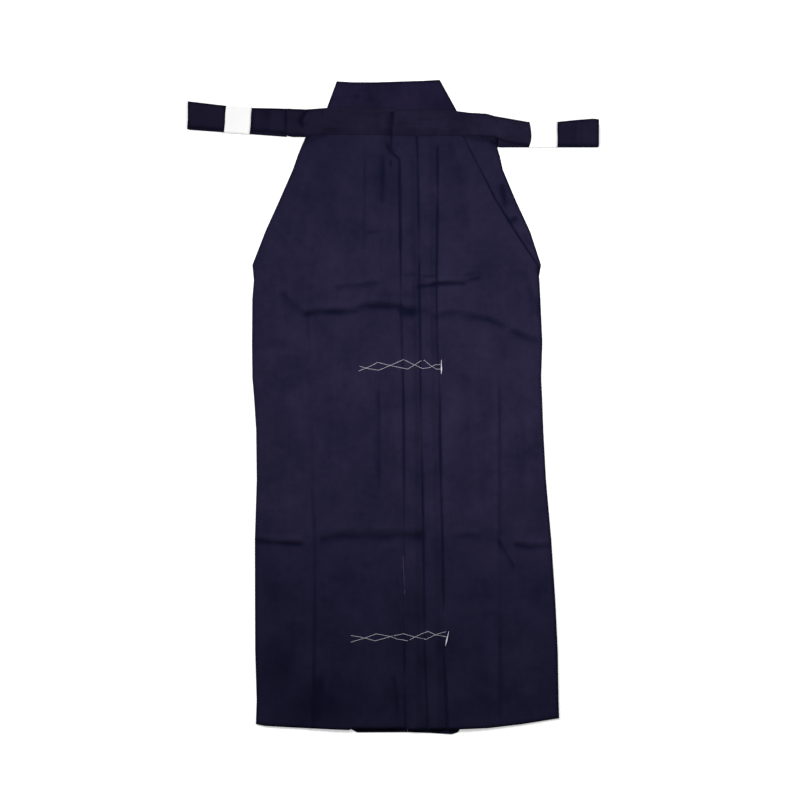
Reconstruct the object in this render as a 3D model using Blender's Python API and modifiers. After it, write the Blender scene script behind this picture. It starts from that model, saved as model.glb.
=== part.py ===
"""Hakama trousers: a divided, pleated garment laid flat with its front up.

Every table is in millimetres: x runs to the viewer's right, y towards the waist and z up from the surface
that the garment lies on. The origin is on that surface, under the middle of the outline. Right and left in
the names of the pieces are the wearer's, so the right leg is at the viewer's left.
"""
import math
from collections import namedtuple

import bmesh
import bpy
import numpy as np

MM = 0.001

# Cloth, and the room that pieces keep from each other
CLOTH = 1.1
ROOM = 0.4
PITCH = CLOTH + ROOM

# Heights of the middle of each layer of the fronts, above the back panels
LAYER_1 = CLOTH + ROOM + CLOTH / 2
LAYER_2 = LAYER_1 + PITCH
LAYER_3 = LAYER_2 + PITCH

# Pleats
PLEAT_DEPTH = 16.0
FOLD_MARGIN = 1.6
SEAM_GAP = 0.6

# Where each line of the garment runs, from the waist to the hem. left_edge and right_edge are the
# fronts' sides, back_left and back_right the backs' sides, and the others the folded edges of the pleats.
Level = namedtuple(
    "Level",
    "y left_edge left_2 left_1 centre right_1 right_2 right_edge back_left back_right",
)
LEVELS = (
    Level(441, -137.0, -46.3, -17.8, 9.9, 38.3, 70.9, 108.0, -133.5, 156.6),
    Level(428, -141.8, -46.3, -17.6, 10.2, 38.9, 70.9, 114.4, -138.3, 161.4),
    Level(396, -155.0, -46.2, -17.2, 10.9, 39.8, 70.9, 130.9, -151.5, 172.2),
    Level(380, -160.6, -46.2, -17.5, 11.0, 40.1, 70.8, 139.4, -157.1, 175.6),
    Level(332, -181.6, -46.2, -18.4, 11.5, 41.0, 70.6, 164.0, -178.1, 195.7),
    Level(281, -204.6, -47.4, -19.2, 12.0, 41.6, 70.4, 197.8, -201.1, 219.4),
    Level(228, -225.1, -49.0, -19.5, 12.5, 42.2, 70.2, 230.4, -222.6, 236.6),
    Level(204, -222.8, -49.8, -19.7, 12.7, 42.5, 70.1, 233.8, -221.0, 232.4),
    Level(172, -225.3, -50.6, -20.0, 13.0, 42.9, 70.1, 235.5, -223.7, 234.1),
    Level(103, -225.8, -52.5, -20.6, 14.4, 43.4, 71.5, 238.6, -224.2, 237.1),
    Level(48, -225.2, -54.3, -20.9, 15.1, 44.0, 74.5, 236.7, -223.6, 235.2),
    Level(12, -222.2, -55.5, -21.1, 15.5, 44.4, 76.5, 238.4, -220.6, 236.9),
    Level(-36, -219.1, -57.5, -20.8, 15.8, 45.6, 77.9, 240.1, -217.5, 238.5),
    Level(-116, -218.2, -60.0, -19.6, 17.6, 47.4, 79.4, 244.4, -216.5, 242.8),
    Level(-212, -221.2, -62.6, -17.8, 19.2, 49.1, 80.8, 252.9, -219.5, 251.2),
    Level(-308, -221.0, -64.6, -15.8, 20.5, 52.0, 82.1, 259.3, -219.4, 257.7),
    Level(-388, -220.7, -66.4, -14.4, 21.3, 54.0, 84.2, 263.2, -219.0, 261.5),
    Level(-468, -218.3, -68.6, -13.4, 21.9, 55.8, 86.6, 264.6, -216.6, 262.9),
    Level(-508, -219.7, -69.4, -13.0, 22.1, 56.6, 87.7, 265.7, -218.0, 263.9),
)

# Lower edges, as the height of the hem at each place across
HemPoint = namedtuple("HemPoint", "x y")
HEM_LEVEL = -508.0
HEM_REACH = 60.0
FRONT_RIGHT_HEM = (
    HemPoint(-220, -506.4),
    HemPoint(-205, -509.2),
    HemPoint(-150, -512.2),
    HemPoint(-70, -515.6),
    HemPoint(-64, -513.4),
    HemPoint(30, -513.8),
)
FRONT_LEFT_HEM = (
    HemPoint(20, -514.6),
    HemPoint(30, -515.6),
    HemPoint(108, -514.2),
    HemPoint(152, -512.6),
    HemPoint(171, -510.4),
    HemPoint(203, -506.8),
    HemPoint(265, -497.0),
)
BACK_HEM = (
    HemPoint(-218, -504.4),
    HemPoint(-150, -509.8),
    HemPoint(-76, -513.2),
    HemPoint(-66, -515.2),
    HemPoint(-54, -519.8),
    HemPoint(22, -519.4),
    HemPoint(62, -520.8),
    HemPoint(90, -522.6),
    HemPoint(99, -519.8),
    HemPoint(107, -512.0),
    HemPoint(152, -509.4),
    HemPoint(171, -507.2),
    HemPoint(203, -504.0),
    HemPoint(265, -494.4),
)

# Main creases across the fronts, each a soft trough along its points
CreasePoint = namedtuple("CreasePoint", "x y")
LONG_CREASE = (
    CreasePoint(-176, 183),
    CreasePoint(-159, 161),
    CreasePoint(-138, 144),
    CreasePoint(-117, 151),
    CreasePoint(-58, 151),
    CreasePoint(-45, 162),
    CreasePoint(14, 162),
    CreasePoint(26, 154),
    CreasePoint(43, 157),
    CreasePoint(69, 143),
    CreasePoint(99, 148),
    CreasePoint(155, 137),
    CreasePoint(203, 114),
    CreasePoint(235, 106),
)
UPPER_CREASE = (
    CreasePoint(-128, 202),
    CreasePoint(-85, 190),
    CreasePoint(-21, 198),
    CreasePoint(43, 193),
    CreasePoint(72, 198),
    CreasePoint(118, 198),
    CreasePoint(124, 206),
)
LOWER_CREASE = (
    CreasePoint(-217, -212),
    CreasePoint(-144, -220),
    CreasePoint(-114, -205),
    CreasePoint(51, -213),
    CreasePoint(139, -207),
    CreasePoint(194, -219),
    CreasePoint(250, -226),
)
Crease = namedtuple("Crease", "points half_width depth")
CREASES = (
    Crease(LONG_CREASE, 5.0, 1.1),
    Crease(UPPER_CREASE, 4.5, 0.6),
    Crease(LOWER_CREASE, 5.0, 0.8),
)

# The line pressed down the middle of each leg, as a low ridge
PressedPoint = namedtuple("PressedPoint", "y right_leg left_leg")
PRESSED_LINES = (
    PressedPoint(140, -138.0, 169.0),
    PressedPoint(-100, -132.0, 171.5),
    PressedPoint(-508, -125.0, 174.0),
)
PRESSED_TOP = 150.0
PRESSED_FADE = 40.0
PRESSED_HALF_WIDTH = 7.0
PRESSED_HEIGHT = 0.8

# Fullness of the cloth between its edges
FULLNESS = 1.7
EDGE_REACH = 42.0
WAIST_REACH = (370.0, 425.0)
HEM_FULLNESS = 0.4
HEM_FADE = 160.0

# Rows of the fronts from the waist to the hem. A row that follows a crease runs that far above it.
Row = namedtuple("Row", "y follows offset")
ROWS = (
    Row(439.5, None, 0),
    Row(428, None, 0),
    Row(396, None, 0),
    Row(380, None, 0),
    Row(332, None, 0),
    Row(281, None, 0),
    Row(228, None, 0),
    Row(212, None, 0),
    Row(196, UPPER_CREASE, 0),
    Row(162, LONG_CREASE, 9),
    Row(150, LONG_CREASE, 0),
    Row(138, LONG_CREASE, -9),
    Row(84, None, 0),
    Row(48, None, 0),
    Row(12, None, 0),
    Row(-36, None, 0),
    Row(-116, None, 0),
    Row(-180, None, 0),
    Row(-204, LOWER_CREASE, 9),
    Row(-214, LOWER_CREASE, 0),
    Row(-224, LOWER_CREASE, -9),
    Row(-308, None, 0),
    Row(-388, None, 0),
    Row(-448, None, 0),
    Row(-508, None, 0),
)

# Shares of the way from the outer pleat to the side edge, where the plain part of a front has its points
SIDE_SHARES = (0.0, 0.1, 0.22, 0.34, 0.46, 0.56, 0.66, 0.78, 0.9, 1.0)
SIDE_FALL = 0.46

# Shares of the width of a back panel, from the centre back seam to its side
BACK_SHARES = (0.0, 0.2, 0.3, 0.4, 0.5, 0.6, 0.8, 1.0)
BACK_ROWS = (440.8, 428, 396, 380, 332, 281, 228, 204, 103, 12, -36, -212, -308, -388, -448, -480, -508)

# Back board: corners of its outline, anticlockwise from the lower right
BoardCorner = namedtuple("BoardCorner", "x y")
BOARD = (
    BoardCorner(119.4, 441.2),
    BoardCorner(98.7, 479.2),
    BoardCorner(73.4, 524.0),
    BoardCorner(49.0, 522.7),
    BoardCorner(11.0, 521.5),
    BoardCorner(-28.0, 520.2),
    BoardCorner(-66.0, 520.3),
    BoardCorner(-90.4, 521.8),
    BoardCorner(-106.1, 479.2),
    BoardCorner(-119.8, 441.2),
)
BOARD_THICK = 3.2
BOARD_ROUND = 0.9

# Strips: the two edges and the height of the middle of the strip at each place along it
StripPoint = namedtuple("StripPoint", "x upper lower z")
BAND_THICK = 1.4
BAND_REST = 7.0
BUNDLE_BOTTOM = 0.8
BUNDLE_LAYERS = 6
BUNDLE_LAYER = 2.0
BUNDLE_TOP = BUNDLE_BOTTOM + BUNDLE_LAYERS * BUNDLE_LAYER
BAND_ON_BUNDLE = BUNDLE_TOP + ROOM + BAND_THICK / 2
FRONT_BAND = (
    StripPoint(-327.4, 488.2, 447.6, BAND_ON_BUNDLE),
    StripPoint(-268.0, 481.2, 443.4, BAND_ON_BUNDLE),
    StripPoint(-226.0, 477.6, 441.0, BAND_ON_BUNDLE),
    StripPoint(-190.0, 477.0, 439.6, BAND_ON_BUNDLE),
    StripPoint(-172.0, 476.4, 437.6, BAND_ON_BUNDLE),
    StripPoint(-162.0, 476.2, 436.0, BAND_ON_BUNDLE - 0.6),
    StripPoint(-139.0, 475.8, 433.6, BAND_REST + 3.2),
    StripPoint(-117.0, 475.4, 437.4, BAND_REST + 0.4),
    StripPoint(-104.0, 475.2, 437.0, BAND_REST),
    StripPoint(-72.0, 470.6, 435.8, BAND_REST),
    StripPoint(-26.0, 470.6, 435.8, BAND_REST + 0.3),
    StripPoint(-10.0, 471.0, 435.4, BAND_REST + 0.9),
    StripPoint(0.0, 473.4, 434.8, BAND_REST - 0.1),
    StripPoint(8.0, 475.2, 434.4, BAND_REST + 0.8),
    StripPoint(44.0, 475.2, 434.0, BAND_REST + 0.3),
    StripPoint(82.0, 474.6, 434.6, BAND_REST),
    StripPoint(120.0, 471.0, 434.4, BAND_REST),
    StripPoint(150.0, 468.8, 433.4, BAND_REST + 3.6),
    StripPoint(162.0, 464.6, 430.8, BAND_ON_BUNDLE - 0.6),
    StripPoint(177.0, 462.0, 424.0, BAND_ON_BUNDLE),
    StripPoint(215.0, 455.4, 417.8, BAND_ON_BUNDLE),
    StripPoint(261.0, 455.4, 417.4, BAND_ON_BUNDLE),
    StripPoint(290.0, 458.4, 417.0, BAND_ON_BUNDLE),
    StripPoint(319.0, 460.6, 416.8, BAND_ON_BUNDLE),
    StripPoint(328.0, 459.4, 417.2, BAND_ON_BUNDLE),
)
STRAP_THICK = 1.2
STRAP_ON_BOARD = BOARD_THICK + ROOM + STRAP_THICK / 2
STRAP_BESIDE = 3.4
BACK_STRAP = (
    StripPoint(-165.6, 472.6, 438.5, STRAP_BESIDE),
    StripPoint(-150.0, 475.8, 441.2, STRAP_BESIDE),
    StripPoint(-124.0, 477.6, 441.4, STRAP_ON_BOARD),
    StripPoint(-72.0, 481.4, 442.2, STRAP_ON_BOARD),
    StripPoint(0.0, 480.0, 442.0, STRAP_ON_BOARD),
    StripPoint(5.0, 477.4, 441.6, STRAP_ON_BOARD),
    StripPoint(90.0, 476.2, 441.4, STRAP_ON_BOARD),
    StripPoint(104.0, 473.6, 441.4, STRAP_ON_BOARD),
    StripPoint(119.0, 471.6, 441.2, STRAP_ON_BOARD),
    StripPoint(140.0, 467.8, 433.4, STRAP_BESIDE),
    StripPoint(166.4, 456.0, 421.0, STRAP_BESIDE),
)
STRIP_SHARES = (0.0, 0.12, 0.5, 0.88, 1.0)
BAND_CROWN = 0.5

# Folded strap bundles: two ends of the middle line, and the width
Bundle = namedtuple("Bundle", "x_out y_out x_in y_in width")
BUNDLE_RIGHT = Bundle(-327.4, 464.4, -168.0, 452.8, 41.4)
BUNDLE_LEFT = Bundle(328.0, 435.2, 167.4, 435.2, 40.0)
BUNDLE_CORNER = 4.0
BUNDLE_CORNER_STEPS = 3
BUNDLE_GROOVE = 0.9
GROOVE_SHARE = 0.2

# Paper bands: shares of the bundle's length, from its outer end, that the band covers
PAPER_THICK = 0.5
PAPER_ROOM = 0.3
PAPER_SLACK = 0.6
PAPER_CORNER = 1.5
PAPER_CORNER_STEPS = 2
PAPER_RIGHT = (0.375, 0.63)
PAPER_LEFT = (0.4125, 0.67)

NAVY = (0.018, 0.016, 0.038, 1.0)
NAVY_DULL = (0.024, 0.022, 0.040, 1.0)
PAPER_WHITE = (0.86, 0.86, 0.87, 1.0)


def clear_scene():
    """Remove every object that the file opened with."""
    for thing in list(bpy.data.objects):
        bpy.data.objects.remove(thing, do_unlink=True)


def make_material(name, colour, roughness):
    """A plain Principled material of one colour."""
    material = bpy.data.materials.new(name)
    material.use_nodes = True
    shader = material.node_tree.nodes["Principled BSDF"]
    shader.inputs["Base Color"].default_value = colour
    shader.inputs["Roughness"].default_value = roughness
    shader.inputs["Metallic"].default_value = 0.0
    material.diffuse_color = colour
    return material


def smooth(share):
    """Rise from 0 to 1 with level ends, as 3s^2 - 2s^3."""
    share = np.clip(share, 0.0, 1.0)
    return share * share * (3.0 - 2.0 * share)


def line_x(name, y):
    """The x of a named line of the LEVELS table at the heights y."""
    ys = np.array([level.y for level in reversed(LEVELS)], dtype=float)
    xs = np.array([getattr(level, name) for level in reversed(LEVELS)], dtype=float)
    return np.interp(y, ys, xs)


def path_y(points, x):
    """The y of a list of points at the places x, level beyond its ends."""
    return np.interp(x, [p.x for p in points], [p.y for p in points])


def distance_to_path(points, x, y):
    """Shortest distance from each (x, y) to a broken line."""
    nearest = np.full(np.shape(x), np.inf)
    for start, end in zip(points[:-1], points[1:]):
        along = np.array((end.x - start.x, end.y - start.y), dtype=float)
        share = ((x - start.x) * along[0] + (y - start.y) * along[1]) / (along @ along)
        share = np.clip(share, 0.0, 1.0)
        gap = np.hypot(x - start.x - share * along[0], y - start.y - share * along[1])
        nearest = np.minimum(nearest, gap)
    return nearest


def lift(x, y):
    """How far the fronts' cloth stands above its layers: fullness, pressed lines and creases.

    All layers at one place rise by the same amount, so that no layer crosses another.
    """
    from_edge = np.minimum(x - line_x("left_edge", y), line_x("right_edge", y) - x)
    waist = 1.0 - smooth((y - WAIST_REACH[0]) / (WAIST_REACH[1] - WAIST_REACH[0]))
    hem = HEM_FULLNESS + (1.0 - HEM_FULLNESS) * smooth((y - HEM_LEVEL) / HEM_FADE)
    inside = smooth(from_edge / EDGE_REACH) * waist
    height = FULLNESS * inside * hem
    pressed_ys = [p.y for p in reversed(PRESSED_LINES)]
    for name in ("right_leg", "left_leg"):
        line = np.interp(y, pressed_ys, [getattr(p, name) for p in reversed(PRESSED_LINES)])
        ridge = np.exp(-(((x - line) / PRESSED_HALF_WIDTH) ** 2))
        height = height + PRESSED_HEIGHT * ridge * smooth((PRESSED_TOP - y) / PRESSED_FADE)
    for crease in CREASES:
        trough = np.exp(-((distance_to_path(crease.points, x, y) / crease.half_width) ** 2))
        height = height - crease.depth * trough * inside
    return np.maximum(height, 0.0)


def pleat(fold, side):
    """Points of one knife pleat, from where its top layer begins to where its lowest layer comes out.

    The top layer ends at the fold, the next runs back under it, and the third comes out again below. All
    three have their points at the same places, so that they rise together. side is +1 where they lie to the
    right.
    """
    back = fold + side * PLEAT_DEPTH
    middle = fold + side * PLEAT_DEPTH / 2
    return [
        (back + side * FOLD_MARGIN, LAYER_3),
        (back, LAYER_3),
        (middle, LAYER_3),
        (fold, LAYER_3),
        (fold, LAYER_2),
        (middle, LAYER_2),
        (back, LAYER_2),
        (back, LAYER_1),
        (middle, LAYER_1),
        (fold, LAYER_1),
        (fold - side * FOLD_MARGIN, LAYER_1),
    ]


def front_section(edge, folds, side, tail):
    """Points across one front, from its side edge through its pleats to its hidden inner end.

    The plain part falls from the top layer beside the outer pleat to the lowest at the side. Each band
    between two pleats rises from the lowest layer to the top one. tail holds the points past the last hidden
    fold.
    """
    start = folds[0] + side * (PLEAT_DEPTH + FOLD_MARGIN)
    points = []
    for share in reversed(SIDE_SHARES[1:]):
        fall = float(smooth(share / SIDE_FALL))
        points.append((start + (edge - start) * share, LAYER_3 + (LAYER_1 - LAYER_3) * fall))
    for fold in folds:
        points.extend(pleat(fold, side))
    if side > 0:
        points = points[:-3]
    points.extend((place, LAYER_1) for place in tail)
    x = np.stack([place for place, _ in points], axis=1)
    height = np.array([height for _, height in points])
    return x, np.broadcast_to(height, x.shape)


def row_heights(x, rows, hem):
    """The y of each point: its row's own or along a crease, and drawn to the hem near the lower edge."""
    y = np.empty_like(x)
    for index, row in enumerate(rows):
        if row.follows is None:
            y[index] = row.y
        else:
            y[index] = path_y(row.follows, x[index]) + row.offset
    share = np.clip((HEM_LEVEL + HEM_REACH - y) / HEM_REACH, 0.0, 1.0)
    return y + share * (path_y(hem, x) - HEM_LEVEL)


def grid_mesh(name, x, y, z):
    """An open surface through a grid of points, in metres."""
    rows, columns = x.shape
    points = np.stack((x, y, z), axis=2).reshape(-1, 3) * MM
    corner = np.arange(rows * columns).reshape(rows, columns)
    faces = np.stack((corner[:-1, :-1], corner[1:, :-1], corner[1:, 1:], corner[:-1, 1:]), axis=2)
    mesh = bpy.data.meshes.new(name)
    mesh.from_pydata(points.tolist(), [], faces.reshape(-1, 4).tolist())
    mesh.update()
    return mesh


def add_object(name, mesh, material, collection):
    """Put a mesh into the scene under its own name."""
    mesh.materials.append(material)
    thing = bpy.data.objects.new(name, mesh)
    collection.objects.link(thing)
    return thing


def add_wall(thing, thickness, offset):
    """Give an open surface its thickness."""
    wall = thing.modifiers.new("Wall", "SOLIDIFY")
    wall.thickness = thickness * MM
    wall.offset = offset
    wall.use_even_offset = True
    wall.use_quality_normals = True


def make_front(name, side, material, collection):
    """One front body as a pleated wall through the rows of ROWS.

    The two fronts meet in a seam under the middle of the centre pleat.
    """
    row_y = np.array([row.y for row in ROWS], dtype=float)
    centre = line_x("centre", row_y)
    seam = centre + PLEAT_DEPTH / 2
    if side > 0:
        folds = [line_x(fold, row_y) for fold in ("right_2", "right_1", "centre")]
        edge = line_x("right_edge", row_y)
        tail = [seam + SEAM_GAP / 2]
        hem = FRONT_LEFT_HEM
    else:
        folds = [line_x(fold, row_y) for fold in ("left_2", "left_1")]
        edge = line_x("left_edge", row_y)
        tail = [centre - FOLD_MARGIN, centre, seam - SEAM_GAP / 2]
        hem = FRONT_RIGHT_HEM
    x, layer = front_section(edge, folds, side, tail)
    y = row_heights(x, ROWS, hem)
    z = layer + lift(x, y)
    if side > 0:
        x, y, z = x[:, ::-1], y[:, ::-1], z[:, ::-1]
    thing = add_object(name, grid_mesh(name, x, y, z), material, collection)
    add_wall(thing, CLOTH, 0.0)
    return thing


def make_back(name, side, material, collection):
    """One back body: a flat panel on the surface, from the centre back seam to its side."""
    row_y = np.array(BACK_ROWS, dtype=float)
    middle = (line_x("left_edge", row_y) + line_x("right_edge", row_y)) / 2
    edge = line_x("back_right" if side > 0 else "back_left", row_y)
    start = middle + side * SEAM_GAP / 2
    shares = BACK_SHARES if side > 0 else BACK_SHARES[::-1]
    x = np.stack([start + (edge - start) * share for share in shares], axis=1)
    y = np.repeat(row_y[:, None], x.shape[1], axis=1)
    reach = np.clip((HEM_LEVEL + HEM_REACH - y) / HEM_REACH, 0.0, 1.0)
    y = y + reach * (path_y(BACK_HEM, x) - HEM_LEVEL)
    thing = add_object(name, grid_mesh(name, x, y, np.zeros_like(x)), material, collection)
    add_wall(thing, CLOTH, 1.0)
    return thing


def make_board(name, material, collection):
    """The stiff back board: its flat outline, thickened, with rounded edges."""
    shape = bmesh.new()
    corners = [shape.verts.new((corner.x * MM, corner.y * MM, 0.0)) for corner in BOARD]
    shape.faces.new(corners)
    mesh = bpy.data.meshes.new(name)
    shape.to_mesh(mesh)
    shape.free()
    thing = add_object(name, mesh, material, collection)
    add_wall(thing, BOARD_THICK, 1.0)
    rounding = thing.modifiers.new("Rounding", "BEVEL")
    rounding.width = BOARD_ROUND * MM
    rounding.segments = 2
    rounding.limit_method = "ANGLE"
    return thing


def make_strip(name, points, thickness, crown, material, collection):
    """A flat strip along its points, a little higher along its middle than at its edges."""
    upper = np.array([p.upper for p in points], dtype=float)
    lower = np.array([p.lower for p in points], dtype=float)
    x = np.repeat(np.array([p.x for p in points], dtype=float)[:, None], len(STRIP_SHARES), axis=1)
    shares = np.array(STRIP_SHARES)
    y = lower[:, None] + (upper - lower)[:, None] * shares
    rise = crown * (1.0 - (2.0 * shares - 1.0) ** 4)
    z = np.array([p.z for p in points], dtype=float)[:, None] + rise
    thing = add_object(name, grid_mesh(name, x.T, y.T, z.T), material, collection)
    add_wall(thing, thickness, 0.0)
    return thing


def rounded_rectangle(length, width, corner, steps):
    """Points of a rectangle with round corners about the origin, anticlockwise."""
    points = []
    for turn, (sign_x, sign_y) in enumerate(((1, 1), (-1, 1), (-1, -1), (1, -1))):
        for step in range(steps + 1):
            angle = math.radians(90 * turn + 90 * step / steps)
            points.append(
                (
                    sign_x * (length / 2 - corner) + corner * math.cos(angle),
                    sign_y * (width / 2 - corner) + corner * math.sin(angle),
                )
            )
    return points


def bundle_frame(bundle):
    """Middle, length and direction of a bundle."""
    along = np.array((bundle.x_in - bundle.x_out, bundle.y_in - bundle.y_out))
    length = float(np.hypot(*along))
    along = along / length
    middle = np.array((bundle.x_in + bundle.x_out, bundle.y_in + bundle.y_out)) / 2
    return middle, length, along


def ring_solid(name, rings):
    """A closed solid through rings with the same number of points, in metres."""
    shape = bmesh.new()
    loops = [[shape.verts.new(np.array(point) * MM) for point in ring] for ring in rings]
    for low, high in zip(loops[:-1], loops[1:]):
        for index in range(len(low)):
            follow = (index + 1) % len(low)
            shape.faces.new((low[index], low[follow], high[follow], high[index]))
    shape.faces.new(list(reversed(loops[0])))
    shape.faces.new(loops[-1])
    mesh = bpy.data.meshes.new(name)
    shape.to_mesh(mesh)
    shape.free()
    return mesh


def make_bundle(name, bundle, material, collection):
    """Straps folded to and fro: one rounded solid with a groove between each two layers."""
    middle, length, along = bundle_frame(bundle)
    across = np.array((-along[1], along[0]))
    rings = []
    for layer in range(BUNDLE_LAYERS):
        base = BUNDLE_BOTTOM + layer * BUNDLE_LAYER
        for share, inset in (
            (0.0, BUNDLE_GROOVE),
            (GROOVE_SHARE, 0.0),
            (1.0 - GROOVE_SHARE, 0.0),
        ):
            rings.append((base + share * BUNDLE_LAYER, inset))
    rings.append((BUNDLE_TOP, BUNDLE_GROOVE))
    points = []
    for height, inset in rings:
        size = (length - 2 * inset, bundle.width - 2 * inset)
        outline = rounded_rectangle(*size, BUNDLE_CORNER, BUNDLE_CORNER_STEPS)
        plan = [middle + u * along + v * across for u, v in outline]
        points.append([(p[0], p[1], height) for p in plan])
    return add_object(name, ring_solid(name, points), material, collection)


def make_paper(name, bundle, shares, material, collection):
    """A paper band round a bundle and the strap on it, clear of both, flat on the surface below."""
    middle, length, along = bundle_frame(bundle)
    across = np.array((-along[1], along[0]))
    half_width = bundle.width / 2 + PAPER_SLACK + PAPER_ROOM + PAPER_THICK / 2
    bottom = PAPER_THICK / 2
    top = BAND_ON_BUNDLE + BAND_THICK / 2 + BAND_CROWN + PAPER_ROOM + PAPER_THICK / 2
    outline = rounded_rectangle(2 * half_width, top - bottom, PAPER_CORNER, PAPER_CORNER_STEPS)
    sections = []
    for share in shares:
        start = middle + along * length * (share - 0.5)
        ring = []
        for sideways, upwards in outline:
            place = start + sideways * across
            ring.append((place[0], place[1], upwards + (top + bottom) / 2))
        sections.append(ring + ring[:1])
    grid = np.array(sections)
    mesh = grid_mesh(name, grid[:, :, 0], grid[:, :, 1], grid[:, :, 2])
    merged = bmesh.new()
    merged.from_mesh(mesh)
    bmesh.ops.remove_doubles(merged, verts=merged.verts, dist=0.01 * MM)
    bmesh.ops.recalc_face_normals(merged, faces=merged.faces)
    merged.to_mesh(mesh)
    merged.free()
    thing = add_object(name, mesh, material, collection)
    add_wall(thing, PAPER_THICK, 0.0)
    return thing


def build():
    """Make every piece of the garment."""
    clear_scene()
    collection = bpy.data.collections.new("hakama")
    bpy.context.scene.collection.children.link(collection)
    front_cloth = make_material("front_cloth", NAVY, 0.85)
    back_cloth = make_material("back_cloth", NAVY, 0.88)
    board_cloth = make_material("board_cloth", NAVY_DULL, 0.85)
    strap_cloth = make_material("strap_cloth", NAVY_DULL, 0.82)
    paper = make_material("paper", PAPER_WHITE, 0.7)
    make_back("back_body_right", -1, back_cloth, collection)
    make_back("back_body_left", 1, back_cloth, collection)
    make_front("front_body_right", -1, front_cloth, collection)
    make_front("front_body_left", 1, front_cloth, collection)
    make_board("koshiita", board_cloth, collection)
    make_strip("back_strap", BACK_STRAP, STRAP_THICK, 0.0, strap_cloth, collection)
    make_strip("front_band", FRONT_BAND, BAND_THICK, BAND_CROWN, strap_cloth, collection)
    make_bundle("strap_bundle_right", BUNDLE_RIGHT, strap_cloth, collection)
    make_bundle("strap_bundle_left", BUNDLE_LEFT, strap_cloth, collection)
    make_paper("paper_band_right", BUNDLE_RIGHT, PAPER_RIGHT, paper, collection)
    make_paper("paper_band_left", BUNDLE_LEFT, PAPER_LEFT, paper, collection)


build()
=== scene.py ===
"""Hakama trousers laid flat with the front up: cloth, straps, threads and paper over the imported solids.

Every table is in millimetres, as the solids have them: x runs to the viewer's right, y towards the waist
and z up from the surface that the garment lies on. Right and left in the names of the pieces are the
wearer's, so the right leg is at the viewer's left.
"""
import math
from collections import namedtuple

import bmesh
import bpy
import numpy as np
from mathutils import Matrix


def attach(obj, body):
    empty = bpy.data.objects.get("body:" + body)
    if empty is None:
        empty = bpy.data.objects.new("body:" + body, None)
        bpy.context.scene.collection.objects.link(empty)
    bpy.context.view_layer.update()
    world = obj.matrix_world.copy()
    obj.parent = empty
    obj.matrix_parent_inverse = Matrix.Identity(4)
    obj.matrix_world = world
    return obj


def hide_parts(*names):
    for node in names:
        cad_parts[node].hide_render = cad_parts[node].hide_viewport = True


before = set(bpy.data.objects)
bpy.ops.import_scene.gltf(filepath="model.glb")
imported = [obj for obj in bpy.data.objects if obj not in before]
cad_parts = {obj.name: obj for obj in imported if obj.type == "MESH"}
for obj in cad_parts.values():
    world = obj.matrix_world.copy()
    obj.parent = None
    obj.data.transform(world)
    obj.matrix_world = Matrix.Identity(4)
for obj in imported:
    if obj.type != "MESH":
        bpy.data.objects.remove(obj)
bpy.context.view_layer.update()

MM = 0.001

# Cloth of the fronts and of the backs
CLOTH = 0.7
BACK_CLOTH = 0.9

# Upper edge of the backs, and where their wrinkled stretch beside the side opening starts: how far outside
# the front's edge and over what width, below what level and over what length, and its least rise
BACK_WAIST = 440.8
OPEN_START = 2.0
OPEN_FADE = 10.0
OPEN_TOP = 430
OPEN_TOP_FADE = 20
OPEN_RISE = 0.4

# Pleats: the heights of the middle of the three layers at each fold, the height that the lowest comes up to
# beside the fold and over what reach, and how far from the fold the top layer begins to turn down
Fold = namedtuple("Fold", "low middle top beside reach edge")
FOLDS = {
    "left_2": Fold(3.5, 4.22, 4.94, 4.94, 0.3, 0.05),
    "left_1": Fold(3.4, 4.12, 4.84, 4.84, 0.3, 0.05),
    "centre": Fold(1.9, 3.6, 5.2, 1.9, 2.4, 2.8),
    "right_1": Fold(1.9, 3.5, 5.0, 1.9, 2.4, 2.8),
    "right_2": Fold(2.0, 3.5, 4.9, 2.0, 2.4, 2.8),
}

# Painted shade: the dark line beside each fold, where the gap under the fold lies in shade, stronger in
# some places than in others, as points (y, strength)
FOLD_PAINTED_SHADE = {
    "left_2": ((415, 0.1), (370, 0.3), (330, 0.2), (290, 0.3), (250, 0.1), (225, 0.0)),
    "left_1": (
        (230, 0.1), (200, 0.0), (60, 0.0), (20, 0.25), (-50, 0.12), (-80, 0.25), (-110, 0.2), (-140, 0.0),
    ),
    "centre": (
        (412, 0.8), (370, 1.4), (320, 1.3), (268, 1.8), (245, 0.8), (205, 0.7), (180, 0.1), (150, 0.5),
        (110, 0.8), (85, 0.6), (50, 1.0), (20, 1.2), (-110, 1.0), (-140, 0.6), (-180, 0.4), (-205, 0.1),
        (-240, 0.5), (-270, 0.0), (-340, 0.0), (-370, 0.5), (-400, 0.8), (-435, 0.1), (-465, 0.5),
        (-508, 0.7),
    ),
    "right_1": (
        (430, 0.9), (390, 0.5), (345, 1.0), (310, 1.1), (280, 0.5), (250, 0.2), (218, 1.0), (120, 1.0),
        (90, 0.8), (60, 1.0), (25, 0.9), (-5, 0.5), (-45, 0.3), (-75, 0.6), (-105, 1.0), (-135, 1.3),
        (-165, 1.1), (-200, 0.8), (-230, 1.2), (-260, 0.7), (-295, 0.7), (-325, 0.9), (-355, 0.2),
        (-385, 0.9), (-450, 0.5), (-508, 0.7),
    ),
    "right_2": (
        (425, 0.0), (413, 0.8), (372, 1.0), (340, 0.3), (308, 1.5), (278, 1.2), (215, 1.0), (115, 0.7),
        (80, 0.8), (50, 0.2), (20, 0.7), (-15, 1.3), (-80, 1.5), (-110, 0.9), (-175, 0.8), (-208, 1.2),
        (-240, 0.7), (-272, 1.2), (-300, 0.8), (-330, 0.1), (-362, 0.0), (-395, 0.6), (-428, 0.9),
        (-460, 1.2), (-508, 1.1),
    ),
}
SIDE_LOW = 2.05
PLEAT_DEPTH = 14.0
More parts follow.
